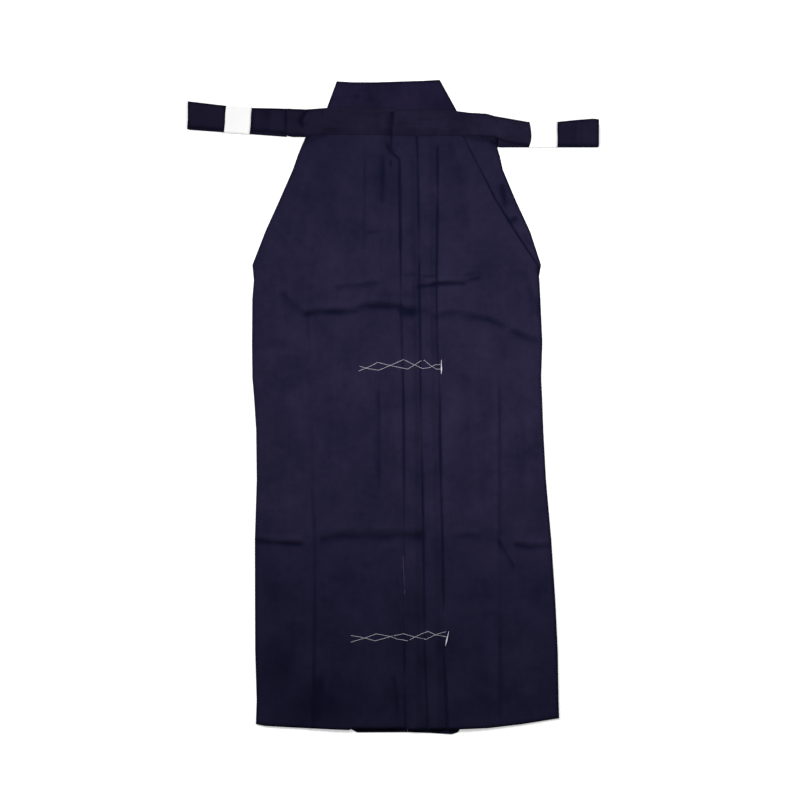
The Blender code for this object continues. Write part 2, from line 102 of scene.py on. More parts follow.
FOLD_MARGIN = {"left_2": 0.05, "left_1": 0.05, "centre": 0.5, "right_1": 0.5, "right_2": 0.5}
FOLD_ROOM = 0.5
SEAM_GAP = 0.6
BACK_SEAM_GAP = 0.1
# Widths of the painted shade beside each fold, on the lower and the upper layer
LINE_BELOW = 2.7
LINE_ABOVE = 0.9

# Where each line of the garment runs, from the waist to the hem. left_edge and right_edge are the fronts'
# sides, back_left and back_right the backs' sides, and the others are the folded edges of the five pleats.
LEVEL_NAMES = "y left_edge left_2 left_1 centre right_1 right_2 right_edge back_left back_right".split()
LEVELS = np.array(
    (
        (441, -137.0, -46.3, -17.8, -0.5, 38.3, 71.5, 108.0, -133.5, 166.0),
        (436, -138.8, -46.3, -17.7, -1.2, 38.5, 71.5, 110.5, -135.3, 168.2),
        (428, -141.8, -46.3, -17.6, -2.4, 38.9, 71.5, 114.4, -138.3, 168.2),
        (418, -146.3, -46.3, -17.5, -3.1, 39.1, 71.5, 119.5, -142.8, 168.0),
        (414, -148.1, -46.3, -17.4, -3.4, 39.2, 71.5, 121.6, -144.6, 167.0),
        (405, -151.9, -46.3, -17.3, 1.2, 39.5, 71.5, 126.3, -148.4, 169.8),
        (397, -154.6, -46.2, -17.2, 10.4, 39.8, 71.5, 130.4, -151.1, 171.9),
        (380, -160.6, -46.2, -17.5, 10.8, 40.1, 71.5, 139.4, -157.1, 175.6),
        (332, -181.6, -46.2, -18.4, 11.5, 41.0, 71.5, 164.0, -178.1, 195.7),
        (281, -204.6, -47.4, -19.2, 12.0, 41.6, 71.0, 195.6, -201.1, 219.4),
        (228, -225.1, -49.0, -19.5, 12.5, 42.2, 70.2, 230.4, -222.6, 236.6),
        (204, -222.8, -49.8, -19.7, 12.7, 42.5, 70.1, 233.8, -221.0, 232.4),
        (172, -225.3, -50.6, -20.0, 13.0, 42.9, 70.1, 235.5, -223.7, 234.1),
        (103, -225.8, -52.5, -21.0, 14.9, 44.0, 70.6, 238.6, -224.2, 237.1),
        (48, -225.2, -54.3, -22.3, 16.5, 44.3, 74.1, 236.7, -223.6, 235.2),
        (12, -222.2, -55.5, -22.7, 17.4, 44.5, 75.4, 238.4, -220.6, 236.9),
        (-36, -219.1, -57.5, -22.6, 17.8, 45.6, 75.6, 240.1, -217.5, 238.5),
        (-116, -218.2, -60.0, -21.5, 18.1, 47.4, 76.6, 244.4, -216.5, 242.8),
        (-212, -221.2, -62.6, -18.2, 18.2, 49.1, 79.7, 252.9, -219.5, 251.2),
        (-308, -221.0, -64.6, -15.8, 18.4, 50.3, 81.2, 259.3, -219.4, 257.7),
        (-388, -220.7, -66.4, -14.4, 18.8, 51.4, 81.6, 263.2, -219.0, 261.5),
        (-468, -218.3, -68.6, -13.4, 19.9, 54.6, 85.6, 264.6, -216.6, 262.9),
        (-508, -219.7, -69.4, -13.0, 20.8, 55.6, 86.8, 265.7, -218.0, 263.9),
    ),
    dtype=float,
)

# Lower edges, as points (x, y) across
HEM_LEVEL = -508.0
HEM_REACH = 60.0
FRONT_RIGHT_HEM = (
    (-220, -506.4), (-205, -509.2), (-150, -512.2), (-70, -515.6), (-68, -513.4), (30, -513.8),
)
FRONT_LEFT_HEM = (
    (20, -514.6), (30, -515.6), (108, -514.2), (152, -512.6), (171, -510.4), (203, -506.8), (265, -497.0),
)
BACK_HEM = (
    (-218, -504.4), (-150, -509.8), (-76, -513.2), (-66, -515.2), (-58, -519.8), (22, -519.4), (62, -520.8),
    (94, -522.8), (104, -519.4), (109, -511.0), (152, -509.4), (171, -507.2), (203, -504.0), (265, -494.4),
)

# Soft creases of the fronts. Each is a trough along its points (x, y), with a low shoulder on its upper
# side, and has painted shade along it, broader on its lower side, where the crease falls into shade.
Crease = namedtuple("Crease", "half_width depth shoulder shade points")
LONG_CREASES = (
    Crease(4.6, 2.0, 1.8, 0.50, ((-180, 190), (-167, 172), (-159, 163), (-149, 155), (-137, 145))),
    Crease(4.2, 2.1, 1.9, 0.95, ((-148, 147), (-128, 151), (-117, 153), (-85, 153), (-50, 154))),
    Crease(4.8, 2.3, 1.9, 1.00, ((-60, 156), (-45, 162), (-21, 163), (19, 161))),
    Crease(5.4, 2.3, 1.4, 0.95, ((6, 158), (24, 154), (43, 153))),
    Crease(9.0, 0.0, 0.0, 0.40, ((2, 163), (24, 160), (44, 159))),
    Crease(5.0, 1.8, 1.5, 0.45, ((36, 158), (52, 152), (68, 145), (99, 149), (136, 145))),
    Crease(3.6, 1.9, 1.5, 0.75, ((120, 148), (155, 140), (184, 126))),
    Crease(4.2, 2.0, 1.5, 0.70, ((184, 126), (212, 113), (240, 104))),
)
UPPER_CREASES = (
    Crease(3.6, 1.3, 1.0, 0.40, ((-98, 190), (-66, 193), (-44, 195), (-17, 200))),
    Crease(2.8, 2.2, 1.3, 1.20, ((33, 192), (56, 195), (72, 198), (94, 199), (122, 199))),
    Crease(2.4, 1.6, 1.0, 0.75, ((116, 198), (124, 205), (146, 209))),
    Crease(2.4, 0.9, 0.6, 0.40, ((108, 209), (126, 214), (149, 214))),
    Crease(6.0, 1.1, 0.8, 0.30, ((-28, 178), (11, 178), (45, 178))),
    Crease(2.0, 1.0, 0.4, 0.60, ((11, 212), (28, 213), (43, 213))),
    Crease(2.0, 0.9, 0.4, 0.55, ((43, 212), (56, 210), (72, 210))),
)
LOWER_CREASES = (
    Crease(3.2, 2.3, 1.7, 0.95, ((-226, -210), (-197, -215), (-173, -217), (-138, -218))),
    Crease(6.0, 2.0, 1.5, 0.68, ((-122, -212), (-77, -204), (-37, -206), (11, -204), (57, -206))),
    Crease(4.0, 1.0, 0.8, 0.35, ((90, -207), (118, -206), (146, -208))),
    Crease(3.4, 1.9, 1.5, 0.80, ((187, -217), (219, -223), (257, -220))),
    Crease(3.2, 1.8, 1.4, 0.65, ((166, -207), (176, -223), (184, -238), (199, -261))),
)
SMALL_CREASES = (
    Crease(5.0, 0.98, 0.70, 0.13, ((-226, 100), (-197, 98), (-163, 102))),
    Crease(5.0, 0.84, 0.70, 0.13, ((-226, 57), (-203, 52), (-184, 52))),
    Crease(3.4, 0.70, 0.42, 0.16, ((96, 97), (120, 98), (144, 98))),
    Crease(4.0, 0.56, 0.42, 0.10, ((94, -332), (131, -334), (168, -330))),
    Crease(3.4, 0.70, 0.42, 0.10, ((-72, -254), (-50, -252), (-28, -255))),
    Crease(3.4, 0.70, 0.42, 0.10, ((-27, -231), (-2, -230), (20, -233))),
    Crease(2.2, 1.12, 0.42, 0.45, ((-49, 280), (-35, 280), (-17, 281))),
    Crease(2.4, 1.26, 0.56, 0.39, ((3, -427), (6, -458), (10, -494))),
    Crease(5.5, 1.12, 0.70, 0.39, ((-16, 409), (-15, 380), (-15, 348), (-18, 322))),
    Crease(3.6, 0.98, 0.56, 0.38, ((-24, 32), (-21, -20), (-23, -68), (-21, -136))),
    Crease(2.2, 1.40, 0.84, 0.98, ((-11, 427), (-7, 417), (-3, 410), (3, 404), (10, 398))),
    Crease(1.8, 0.98, 0.42, 0.65, ((-3, 398), (-3, 382))),
    Crease(7.0, 1.26, 0.84, 0.07, ((-147, 384), (-154, 340), (-162, 297), (-174, 242))),
    Crease(7.0, 1.12, 0.70, 0.07, ((-133, 363), (-139, 308), (-145, 250))),
    Crease(6.0, 1.26, 0.84, 0.32, ((207, 224), (219, 196), (228, 172), (236, 142))),
    Crease(7.0, 0.98, 0.70, 0.07, ((193, 224), (201, 188), (203, 150))),
    Crease(6.0, 1.26, 0.56, 0.39, ((-112, -425), (-115, -468), (-118, -506))),
    Crease(8.0, 0.84, 0.70, 0.07, ((-189, -250), (-183, -330), (-186, -420))),
    Crease(9.0, 0.98, 0.84, 0.07, ((150, -270), (146, -360), (150, -450))),
    Crease(9.0, 0.98, 0.84, 0.07, ((-95, 120), (-101, 20), (-97, -90))),
    Crease(9.0, 0.98, 0.84, 0.07, ((118, 60), (124, -40), (120, -150))),
    Crease(8.0, 0.84, 0.70, 0.07, ((-176, 20), (-180, -60), (-175, -150))),
    Crease(8.0, 0.98, 0.70, 0.07, ((205, 60), (209, -40), (212, -150))),
    Crease(8.0, 0.84, 0.56, 0.07, ((112, 385), (118, 330), (124, 262))),
    Crease(8.0, 0.84, 0.56, 0.07, ((-88, 372), (-92, 310), (-90, 240))),
)
FRONT_CREASES = LONG_CREASES + UPPER_CREASES + LOWER_CREASES + SMALL_CREASES
CREASE_ENDS = 12.0
CREASE_WAVE = 9.0

# The line pressed down the middle of each leg, as a low ridge with a painted shade line at its right, the
# side of the ridge turned from the light: (y, x, strength)
PRESSED_RIGHT = (
    (150, -139.7, 0.0), (135, -139.5, 0.5), (85, -137.5, 0.2), (10, -136.5, 0.1), (-36, -133.5, 0.3),
    (-100, -132.5, 0.4), (-148, -132.5, 0.6), (-180, -129.5, 0.9), (-230, -129.0, 0.5), (-308, -129.2, 0.7),
    (-388, -129.5, 0.6), (-508, -131.5, 1.0),
)
PRESSED_LEFT = (
    (60, 165.5, 0.0), (10, 166.5, 0.9), (-30, 166.5, 1.0), (-60, 166.5, 0.7), (-190, 166.7, 0.9),
    (-215, 166.8, 0.4), (-260, 167.0, 0.2), (-350, 167.0, 0.2), (-372, 167.0, 0.7), (-440, 168.0, 0.5),
    (-508, 168.0, 0.3),
)
PRESSED_HALF_WIDTH = 4.5
PRESSED_HEIGHT = 1.3
PRESSED_PAINTED_SHADE = 0.5

# Painted shade as dark rims at the outer edges, where the rounded edges fall into shade, and the painted
# shadow where the front's right edge lies on the back, as (y, strength)
RIM_WIDTH = 3.2
LEFT_RIM = 0.5
RIGHT_RIM = 0.9
OPEN_RIM = 0.7
HEM_RIM = 1.2
BACK_HEM_RIM = 1.0
BOARD_RIM = 0.95
OPENING = (
    (432, 0.1), (415, 0.6), (390, 0.5), (360, 0.8), (322, 1.0), (310, 1.4), (298, 1.8), (285, 1.6),
    (262, 1.5), (245, 1.1), (228, 0.8), (222, 0.0),
)
OPENING_ABOVE = 1.6
OPENING_BELOW = 2.1

# Painted shadows: soft darker patches painted where the cloth lies in shade: the middle, the half width and
# half height, and the shade
PAINTED_SHADOW_PATCHES = (
    (-111, 377, 26, 44, 0.10), (-12, 377, 16, 44, 0.16), (-120, -476, 32, 34, 0.40), (163, 427, 8, 9, 0.90),
    (187, 299, 5, 4, 0.80), (-178, -426, 18, 52, 0.22),
)

# Fullness of the cloth between its edges, and its soft unevenness: cell width, cell height and rise
FULLNESS = 1.7
EDGE_REACH = 42.0
WAIST_REACH = (370.0, 425.0)
HEM_FULLNESS = 0.4
HEM_FADE = 160.0
Unevenness = namedtuple("Unevenness", "width height rise seed")
UNEVEN_FRONT = (Unevenness(62, 80, 0.7, 3), Unevenness(28, 48, 0.45, 5), Unevenness(12, 20, 0.16, 8))
UNEVEN_REACH = 16.0

# Guide lines of the fronts' rows, from the waist to the hem, and how many rows lead to each
UPPER_GUIDE = (
    (-170, 214), (-128, 204), (-85, 190), (-21, 198), (43, 193), (72, 198), (118, 198), (124, 206),
)
LONG_GUIDE = (
    (-176, 183), (-159, 161), (-138, 144), (-117, 151), (-58, 151), (-45, 162), (14, 162), (26, 154),
    (43, 157), (69, 143), (99, 148), (155, 137), (203, 114), (235, 106),
)
LOWER_GUIDE = ((-217, -212), (-144, -220), (-114, -205), (51, -213), (139, -207), (194, -219), (250, -226))
Guide = namedtuple("Guide", "rows y follows offset")
GUIDES = (
    Guide(1, 439.5, None, 0),
    Guide(16, 392, None, 0),
    Guide(24, 300, None, 0),
    Guide(26, None, UPPER_GUIDE, 20),
    Guide(16, None, UPPER_GUIDE, -6),
    Guide(12, None, LONG_GUIDE, 13),
    Guide(17, None, LONG_GUIDE, -10),
    Guide(26, 58, None, 0),
    Guide(56, -188, None, 0),
    Guide(14, None, LOWER_GUIDE, -11),
    Guide(12, -268, None, 0),
    Guide(54, -508, None, 0),
)

# How many points lie across each part of a front
PLAIN_STEPS = 60
EDGE_SHARE_IN = 0.5
SHELF_STEPS = 6
TURN_STEPS = 5
HIDDEN_STEPS = 3
BESIDE_STEPS = 4
BESIDE_TURN = 0.1
BAND_STEPS = 6
MIDDLE_STEPS = 13
SIDE_FALL = 0.46

# Back panels
BACK_STEPS_ACROSS = 84
BACK_STEPS_DOWN = 250
BACK_CREASES = (
    Crease(3.6, -2.2, -0.8, 0.95, ((174, 364), (177, 342), (181, 316))),
    Crease(3.4, -1.8, -0.7, 0.95, ((184, 297), (190, 301), (197, 305), (204, 303))),
    Crease(3.2, -1.6, -0.6, 0.60, ((206, 284), (214, 271), (222, 255))),
    Crease(5.0, -1.0, -0.4, 0.10, ((150, 415), (156, 396), (166, 372))),
)
UNEVEN_BACK = (Unevenness(34, 50, 0.5, 13), Unevenness(15, 22, 0.22, 17))

# Back board: outline of its two sides, from its lower edge to its upper one, and its dipping upper edge
BOARD_LEFT = ((-119.8, 441.2), (-106.1, 479.2), (-90.4, 521.8))
BOARD_RIGHT = ((119.4, 441.2), (98.7, 479.2), (73.4, 524.0))
BOARD_TOP = ((-90.4, 521.8), (-66.0, 520.3), (-28.0, 520.2), (11.0, 521.5), (49.0, 522.7), (73.4, 524.0))
BOARD_FOOT = 441.2
BOARD_HEAD = 522.0
BOARD_THICK = 3.2
BOARD_ROUND = 1.4
BOARD_STEPS = (150, 60)
BOARD_DENT_MARGIN = 6.0
BOARD_DENT_LEVEL = 0.2
BOARD_DENT_MOST = 0.15
BOARD_UNDER_MAP = 300.0
BOARD_CREASES = (
    Crease(1.6, 0.22, 0.1, 0.40, ((-70, 498), (-59, 498), (-48, 498))),
    Crease(9.0, 0.45, 0.0, 0.30, ((62, 486), (76, 480), (92, 477))),
    Crease(8.0, 0.25, 0.1, 0.05, ((-30, 512), (-5, 495), (6, 482))),
    Crease(2.0, 0.15, 0.1, 0.08, ((-80, 507), (10, 506), (66, 509))),
)
UNEVEN_BOARD = (Unevenness(40, 22, 0.16, 21), Unevenness(16, 10, 0.06, 22))

# Strips: x, the upper and the lower edge, and the height of the middle of the strip
BAND_THICK = 1.4
BAND_REST = 7.0
BAND_ON_BUNDLE = 13.9
BAND_CROWN = 0.5
FRONT_BAND = np.array(
    (
        (-327.4, 488.2, 447.6, BAND_ON_BUNDLE), (-268.0, 481.2, 443.4, BAND_ON_BUNDLE),
        (-226.0, 477.6, 441.0, BAND_ON_BUNDLE), (-190.0, 477.0, 439.6, BAND_ON_BUNDLE),
        (-178.0, 476.6, 438.0, BAND_ON_BUNDLE), (-168.0, 476.4, 432.4, BAND_ON_BUNDLE),
        (-160.0, 476.2, 431.0, BAND_ON_BUNDLE - 0.9), (-139.0, 475.8, 431.2, BAND_REST + 3.2),
        (-117.0, 475.4, 437.4, BAND_REST + 0.4), (-104.0, 475.2, 437.0, BAND_REST),
        (-72.0, 470.6, 435.8, BAND_REST), (-26.0, 470.6, 435.8, BAND_REST + 0.3),
        (-10.0, 471.0, 435.4, BAND_REST + 0.9), (0.0, 473.4, 434.8, BAND_REST - 0.1),
        (8.0, 475.2, 434.4, BAND_REST + 0.8), (44.0, 475.2, 434.0, BAND_REST + 0.3),
        (82.0, 474.6, 434.6, BAND_REST), (120.0, 471.0, 434.4, BAND_REST),
        (150.0, 468.8, 433.4, BAND_REST + 3.6), (162.0, 464.6, 430.8, BAND_ON_BUNDLE - 0.6),
        (177.0, 462.0, 424.0, BAND_ON_BUNDLE), (215.0, 455.4, 417.8, BAND_ON_BUNDLE),
        (261.0, 455.4, 417.4, BAND_ON_BUNDLE), (290.0, 458.4, 417.0, BAND_ON_BUNDLE),
        (319.0, 460.6, 416.8, BAND_ON_BUNDLE), (328.0, 459.4, 417.2, BAND_ON_BUNDLE),
    )
)
BAND_CREASES = (
    Crease(3.4, 1.5, 0.5, 1.00, ((-0.5, 486), (0.0, 463), (-2.0, 444), (-2.7, 424))),
    Crease(5.0, 0.3, 0.0, 1.30, ((-182, 435.5), (-160, 434.0), (-136, 434.0))),
    Crease(3.0, 0.5, 0.3, 0.50, ((152, 468), (160, 462), (171, 448))),
    Crease(4.0, 0.4, 0.3, 0.30, ((291, 466), (290, 440), (292, 410))),
    Crease(5.5, 0.7, 0.3, 0.35, ((-24, 488), (-23, 457), (-20, 424))),
    Crease(2.0, 0.3, 0.2, 0.25, ((1, 454), (19, 454), (38, 453))),
    Crease(2.4, 0.3, 0.2, 0.10, ((-96, 454), (-80, 454), (-64, 453))),
    Crease(2.4, 0.9, 0.5, 0.75, ((-170.5, 486), (-170, 457), (-169.5, 426))),
    Crease(8.0, 0.5, 0.3, 0.50, ((-199, 486), (-200, 457), (-201, 428))),
    Crease(3.4, 1.0, 0.5, 1.20, ((-134, 482), (-139, 470), (-147, 457), (-141, 446))),
    Crease(4.4, 0.6, 0.3, 0.90, ((-151, 456), (-142, 458))),
    Crease(2.2, 0.5, 0.3, 0.25, ((-110, 484), (-111, 470), (-113, 454))),
    Crease(3.0, 0.5, 0.3, 0.15, ((-150, 447), (-140, 452), (-128, 449))),
    Crease(4.0, 0.6, 0.4, 0.15, ((152, 478), (158, 452), (166, 424))),
    Crease(5.0, 0.4, 0.3, 0.08, ((122, 478), (126, 452), (121, 425))),
    Crease(4.0, 0.4, 0.3, 0.12, ((176, 441), (194, 432), (214, 428))),
    Crease(5.0, 0.4, 0.3, 0.08, ((-300, 492), (-302, 468), (-299, 438))),
    Crease(3.0, 0.3, 0.2, 0.10, ((303, 466), (301, 440), (304, 412))),
)
UNEVEN_BAND = (Unevenness(26, 18, 0.22, 31), Unevenness(11, 9, 0.08, 33))
# Painted shade as dark rims of the strips: x, and the strengths at the upper and the lower edge. Then the
# painted shadow lines beside the papers: x and strength.
STRIP_RIM = np.array(
    (
        (-327, 1.1, 0.7), (-180, 1.1, 0.6), (-165, 1.1, 1.1), (-145, 1.1, 1.1), (-120, 0.6, 0.3),
        (-104, 0.3, 0.15), (0, 0.3, 0.35), (104, 0.25, 0.35), (120, 0.7, 0.2), (150, 1.1, 0.4),
        (165, 1.0, 0.9), (262, 1.0, 0.9), (328, 1.1, 1.1),
    )
)
PAPER_SHADOW_LINES = ((-267.5, 0.8), (-225.5, 0.8), (220.5, 0.6), (262.5, 0.8))
BAND_STEP = 1.5
STRIP_STEPS = 18
DROOP_SHARE = 0.34
DROOP_INSET = 2.0
DROOP_CLEAR = 0.1
STRIP_END_RIM = 1.1
STRAP_FINISHED = 38.0
DROOP_REACH = (-118.0, 118.0)
DROOP_FADE = 16.0
EDGE_PRESSED = 0.5
EDGE_SHARE = 0.2

STRAP_THICK = 1.1
STRAP_ON_BOARD = 4.2
STRAP_BESIDE = 3.4
BACK_STRAP = np.array(
    (
        (-165.6, 472.6, 438.5, STRAP_BESIDE), (-150.0, 475.8, 441.2, STRAP_BESIDE),
        (-124.0, 477.6, 441.4, STRAP_ON_BOARD), (-72.0, 481.4, 442.2, STRAP_ON_BOARD),
        (0.0, 480.0, 442.0, STRAP_ON_BOARD), (5.0, 477.4, 441.6, STRAP_ON_BOARD),
        (90.0, 476.2, 441.4, STRAP_ON_BOARD), (104.0, 473.6, 441.4, STRAP_ON_BOARD),
        (119.0, 471.6, 441.2, STRAP_ON_BOARD), (140.0, 467.8, 433.4, STRAP_BESIDE),
        (166.4, 456.0, 421.0, STRAP_BESIDE),
    )
)
UNEVEN_STRAP = (Unevenness(24, 16, 0.10, 41),)

# Folded strap bundles: two ends of the middle line, the width, and how far each turn stays back from the end
Bundle = namedtuple("Bundle", "x_out y_out x_in y_in width set_backs slips")
BUNDLE_RIGHT = Bundle(
    -327.4, 464.4, -168.0, 452.8, 41.4, (0.2, 1.4, 0.6, 0.1, 1.8, 0.5), (0.3, -0.4, 0.1, -0.2, 0.4, 0.0)
)
BUNDLE_LEFT = Bundle(
    328.0, 435.2, 167.4, 435.2, 40.0, (0.3, 0.9, 0.1, 0.6, 0.2, 1.1), (-0.3, 0.2, -0.1, 0.4, -0.4, 0.1)
)
BUNDLE_BOTTOM = 0.8
BUNDLE_LAYERS = 6
BUNDLE_CLEAR = 0.1
BUNDLE_LAYER = 2.0
BUNDLE_CLOTH = 1.5
BUNDLE_INSET = 0.5
BUNDLE_STEPS = 40

# Paper bands: shares of the bundle's length, from its outer end, and how far the inner edge curves
PAPER_THICK = 0.4
PAPER_CLEAR = 1.15
PAPER_BOTTOM = 0.25
PAPER_TOP = 15.65
PAPER_CORNER = 1.5
PAPER_RIGHT = (0.375, 0.63)
PAPER_LEFT = (0.4125, 0.67)
PAPER_LEFT_CURVE = 4.0
PAPER_STEPS = 14

# Basting threads, as points (x, y) across the pleats, and the places where a thread goes under the cloth
BASTING_RADIUS = 0.27
STITCHES = ((18.4, 76.2), (46.8, 75.2), (0.4, -364.6), (25.3, -371.9), (49.4, -369.8))
STITCH_DEPTH = 1.6
STITCH_REACH = 1.5
BASTING_UPPER = (
    (
        (-55.2, 58.2), (-42.9, 62.9), (-24.6, 72), (-6.2, 67.4), (22.9, 61.3), (34.4, 68), (44.3, 74.4),
        (49.6, 75.5), (61.1, 65.9), (68.8, 61.3), (77.3, 61.3),
    ),
    (
        (-53.6, 65.9), (-39.8, 62.1), (-23, 59.4), (-3.2, 67.8), (16.8, 76.6), (34.4, 67.8), (47.4, 62.1),
        (58.1, 63.7), (67.2, 68.2), (77.0, 68.6),
    ),
)
BASTING_LOWER = (
    (
        (-67.5, -374.6), (-46.1, -368.3), (-26.9, -361.4), (-6.2, -365.3), (6.1, -369.9), (23.7, -372.6),
        (33.3, -367.2), (45.8, -361.4), (55.7, -357.4), (68.8, -363.5), (87.8, -366.6),
    ),
    (
        (-67.5, -364), (-53.6, -366.1), (-41.4, -369.1), (-29.1, -372.6), (-15.4, -369.1), (-3.2, -365.3),
        (4.5, -364), (16.8, -361.4), (33.6, -366.1), (52, -370.4), (67.2, -363), (84.8, -357.9),
    ),
)
KNOT_UPPER = ((77.2, 76.2), (77.0, 68.5), (77.2, 61.4), (76.9, 53.4))
KNOT_LOWER = ((88.6, -357.6), (87.6, -363.0), (86.4, -368.2), (83.6, -380.6))
KNOT_RADII = (0.3, 0.55, 1.2, 0.3)
LOOSE_THREAD = ((16.0, -237.6), (16.6, -253.6), (17.6, -272.8), (18.6, -298.4))
LOOSE_RADIUS = 0.32
THREAD_STEP = 1.2

# Painted shade in place of uneven light: how much darker the cloth is painted along its length, most
# towards the hem, at its left and at its right: y and the two shades
PAINTED_FALLOFF = (
    (441, 0.46, 0.40), (380, 0.42, 0.33), (270, 0.19, 0.22), (170, 0.20, 0.14), (70, 0.14, 0.0),
    (-20, 0.14, 0.02), (-100, 0.11, 0.11), (-165, 0.15, 0.12), (-220, 0.29, 0.19), (-290, 0.48, 0.31),
    (-370, 0.57, 0.45), (-450, 0.60, 0.45), (-508, 0.60, 0.47),
)
PAINTED_FALLOFF_SIDES = (-150.0, 150.0)

# How much darker the straps are towards their ends: x and shade
STRAP_TONE = np.array(
    (
        (-327, 0.20), (-235, 0.20), (-220, 0.34), (-150, 0.32), (-125, 0.08), (120, 0.0), (180, 0.05),
        (327, 0.14),
    )
)

# How dark the deepest painted shade is, and the share of each colour that it leaves as it is, so that the
# painted shade turns bluer
SHADE_DEPTH = 0.78
DEEP_BLUE = (0.0, 0.084, 0.29)

# Camera, from the photograph's frame: straight above the middle of the picture
PICTURE_WIDTH = 1280.0
LENS = 100.0
SENSOR = 36.0
CAMERA_PLACE = (10.9, 12.0)

# Light
WINDOW_FROM = (-0.62, 0.62, 0.52)
WINDOW_STRENGTH = 2.1
WINDOW_SPREAD = 24.0
CEILING_PLACE = (0.12, 0.28, 0.95)
CEILING_SIZE = 0.45
CEILING_POWER = 7.5
SKY = 0.10
FLOOR_GLOW = 0.5


def smooth(share):
    """Rise from 0 to 1 with level ends, as 3s^2 - 2s^3."""
    share = np.clip(share, 0.0, 1.0)
    return share * share * (3.0 - 2.0 * share)


def line_x(name, y):
    """The x of a named line of the LEVELS table at the heights y."""
    column = LEVELS[::-1, LEVEL_NAMES.index(name)]
    return np.interp(y, LEVELS[::-1, 0], column)


def path_y(points, x):
    """The y of a list of points at the places x, level beyond its ends."""
    places = np.asarray(points, dtype=float)
    return np.interp(x, places[:, 0], places[:, 1])


def near_path(points, x, y):
    """Signed distance from each (x, y) to a broken line, and the length along it to the nearest point.

    The distance is positive on the left of the line as it runs, so on the upper side of one that runs right.
    """
    places = np.asarray(points, dtype=float)
    nearest = np.full(np.shape(x), np.inf)
    side = np.ones(np.shape(x))
    along = np.zeros(np.shape(x))
    covered = 0.0
    for start, end in zip(places[:-1], places[1:]):
        step = end - start
        length = float(np.hypot(*step))
        share = np.clip(((x - start[0]) * step[0] + (y - start[1]) * step[1]) / length**2, 0.0, 1.0)
        off_x = x - start[0] - share * step[0]
        off_y = y - start[1] - share * step[1]
        gap = np.hypot(off_x, off_y)
        closer = gap < nearest
        nearest = np.where(closer, gap, nearest)
        side = np.where(closer, np.sign(step[0] * off_y - step[1] * off_x), side)
        along = np.where(closer, covered + share * length, along)
        covered += length
    return nearest * side, along, covered


def crease_relief(creases, x, y):
    """Height and painted shade of soft creases at (x, y).

    Each trough is -depth exp(-(d / w)^2) at the distance d from its line, steeper on its upper side than on
    its lower one, its shoulder is a broader hump above it, and both fade at the ends and vary along the way.
    """
    height = np.zeros(np.shape(x))
    shade = np.zeros(np.shape(x))
    for number, crease in enumerate(creases):
        gap, along, length = near_path(crease.points, x, y)
        ends = min(CREASE_ENDS, length / 2.5)
        fade = smooth(along / ends) * smooth((length - along) / ends)
        fade = fade * (0.82 + 0.18 * np.sin(along / CREASE_WAVE + 1.7 * number))
        across = gap / crease.half_width
        height += fade * crease.shoulder * np.exp(-(((across - 1.9) / 1.2) ** 2))
        height -= fade * crease.depth * np.exp(-((across / np.where(across > 0.0, 0.9, 1.7)) ** 2))
        # Painted shade along the trough, broader on its lower side
        shade += fade * crease.shade * np.exp(-((across / np.where(across > 0.0, 0.6, 1.7)) ** 2))
    return height, shade


def unevenness(layers, x, y):
    """Soft random rise of cloth: each layer has seeded heights at the corners of cells, blended smoothly."""
    total = np.zeros(np.shape(x))
    for layer in layers:
        source = np.random.default_rng(layer.seed)
        corners = source.uniform(-1.0, 1.0, (int(1400 / layer.height), int(1000 / layer.width)))
        column = (x + 500.0) / layer.width
        row = (y + 700.0) / layer.height
        left = np.clip(np.floor(column).astype(int), 0, corners.shape[1] - 2)
        low = np.clip(np.floor(row).astype(int), 0, corners.shape[0] - 2)
        across = smooth(column - left)
        up = smooth(row - low)
        bottom = corners[low, left] * (1 - across) + corners[low, left + 1] * across
        top = corners[low + 1, left] * (1 - across) + corners[low + 1, left + 1] * across
        total += layer.rise * (bottom * (1 - up) + top * up)
    return total


def lift(x, y):
    """How far the fronts' cloth stands above its layers, and the painted shade of its pressed lines and
    creases.

    Fullness between the edges, less near the waist and the hem, plus pressed ridges, creases and
    unevenness, and never below the layers. All layers at one place rise alike, so that no layer crosses
    another.
    """
    from_edge = np.minimum(x - line_x("left_edge", y), line_x("right_edge", y) - x)
    waist = 1.0 - smooth((y - WAIST_REACH[0]) / (WAIST_REACH[1] - WAIST_REACH[0]))
    hem = HEM_FULLNESS + (1.0 - HEM_FULLNESS) * smooth((y - HEM_LEVEL) / HEM_FADE)
    height = FULLNESS * smooth(from_edge / EDGE_REACH) * waist * hem
    height = height + unevenness(UNEVEN_FRONT, x, y) * smooth(from_edge / UNEVEN_REACH) * waist
    shade = np.zeros(np.shape(x))
    for pressed in (PRESSED_RIGHT, PRESSED_LEFT):
        level, place, strength = np.array(pressed[::-1]).T
        across = (x - np.interp(y, level, place)) / PRESSED_HALF_WIDTH
        force = np.interp(y, level, strength)
        height = height + PRESSED_HEIGHT * force * np.exp(-(across**2))
        # Painted shade along the side of each pressed ridge turned from the light
        shade = shade + PRESSED_PAINTED_SHADE * force * np.exp(-(((across - 0.8) / 0.5) ** 2))
    relief, creased = crease_relief(FRONT_CREASES, x, y)
    height = height + relief * (0.35 + 0.65 * waist)
    return (height + np.sqrt(height**2 + 0.04)) / 2, shade + creased


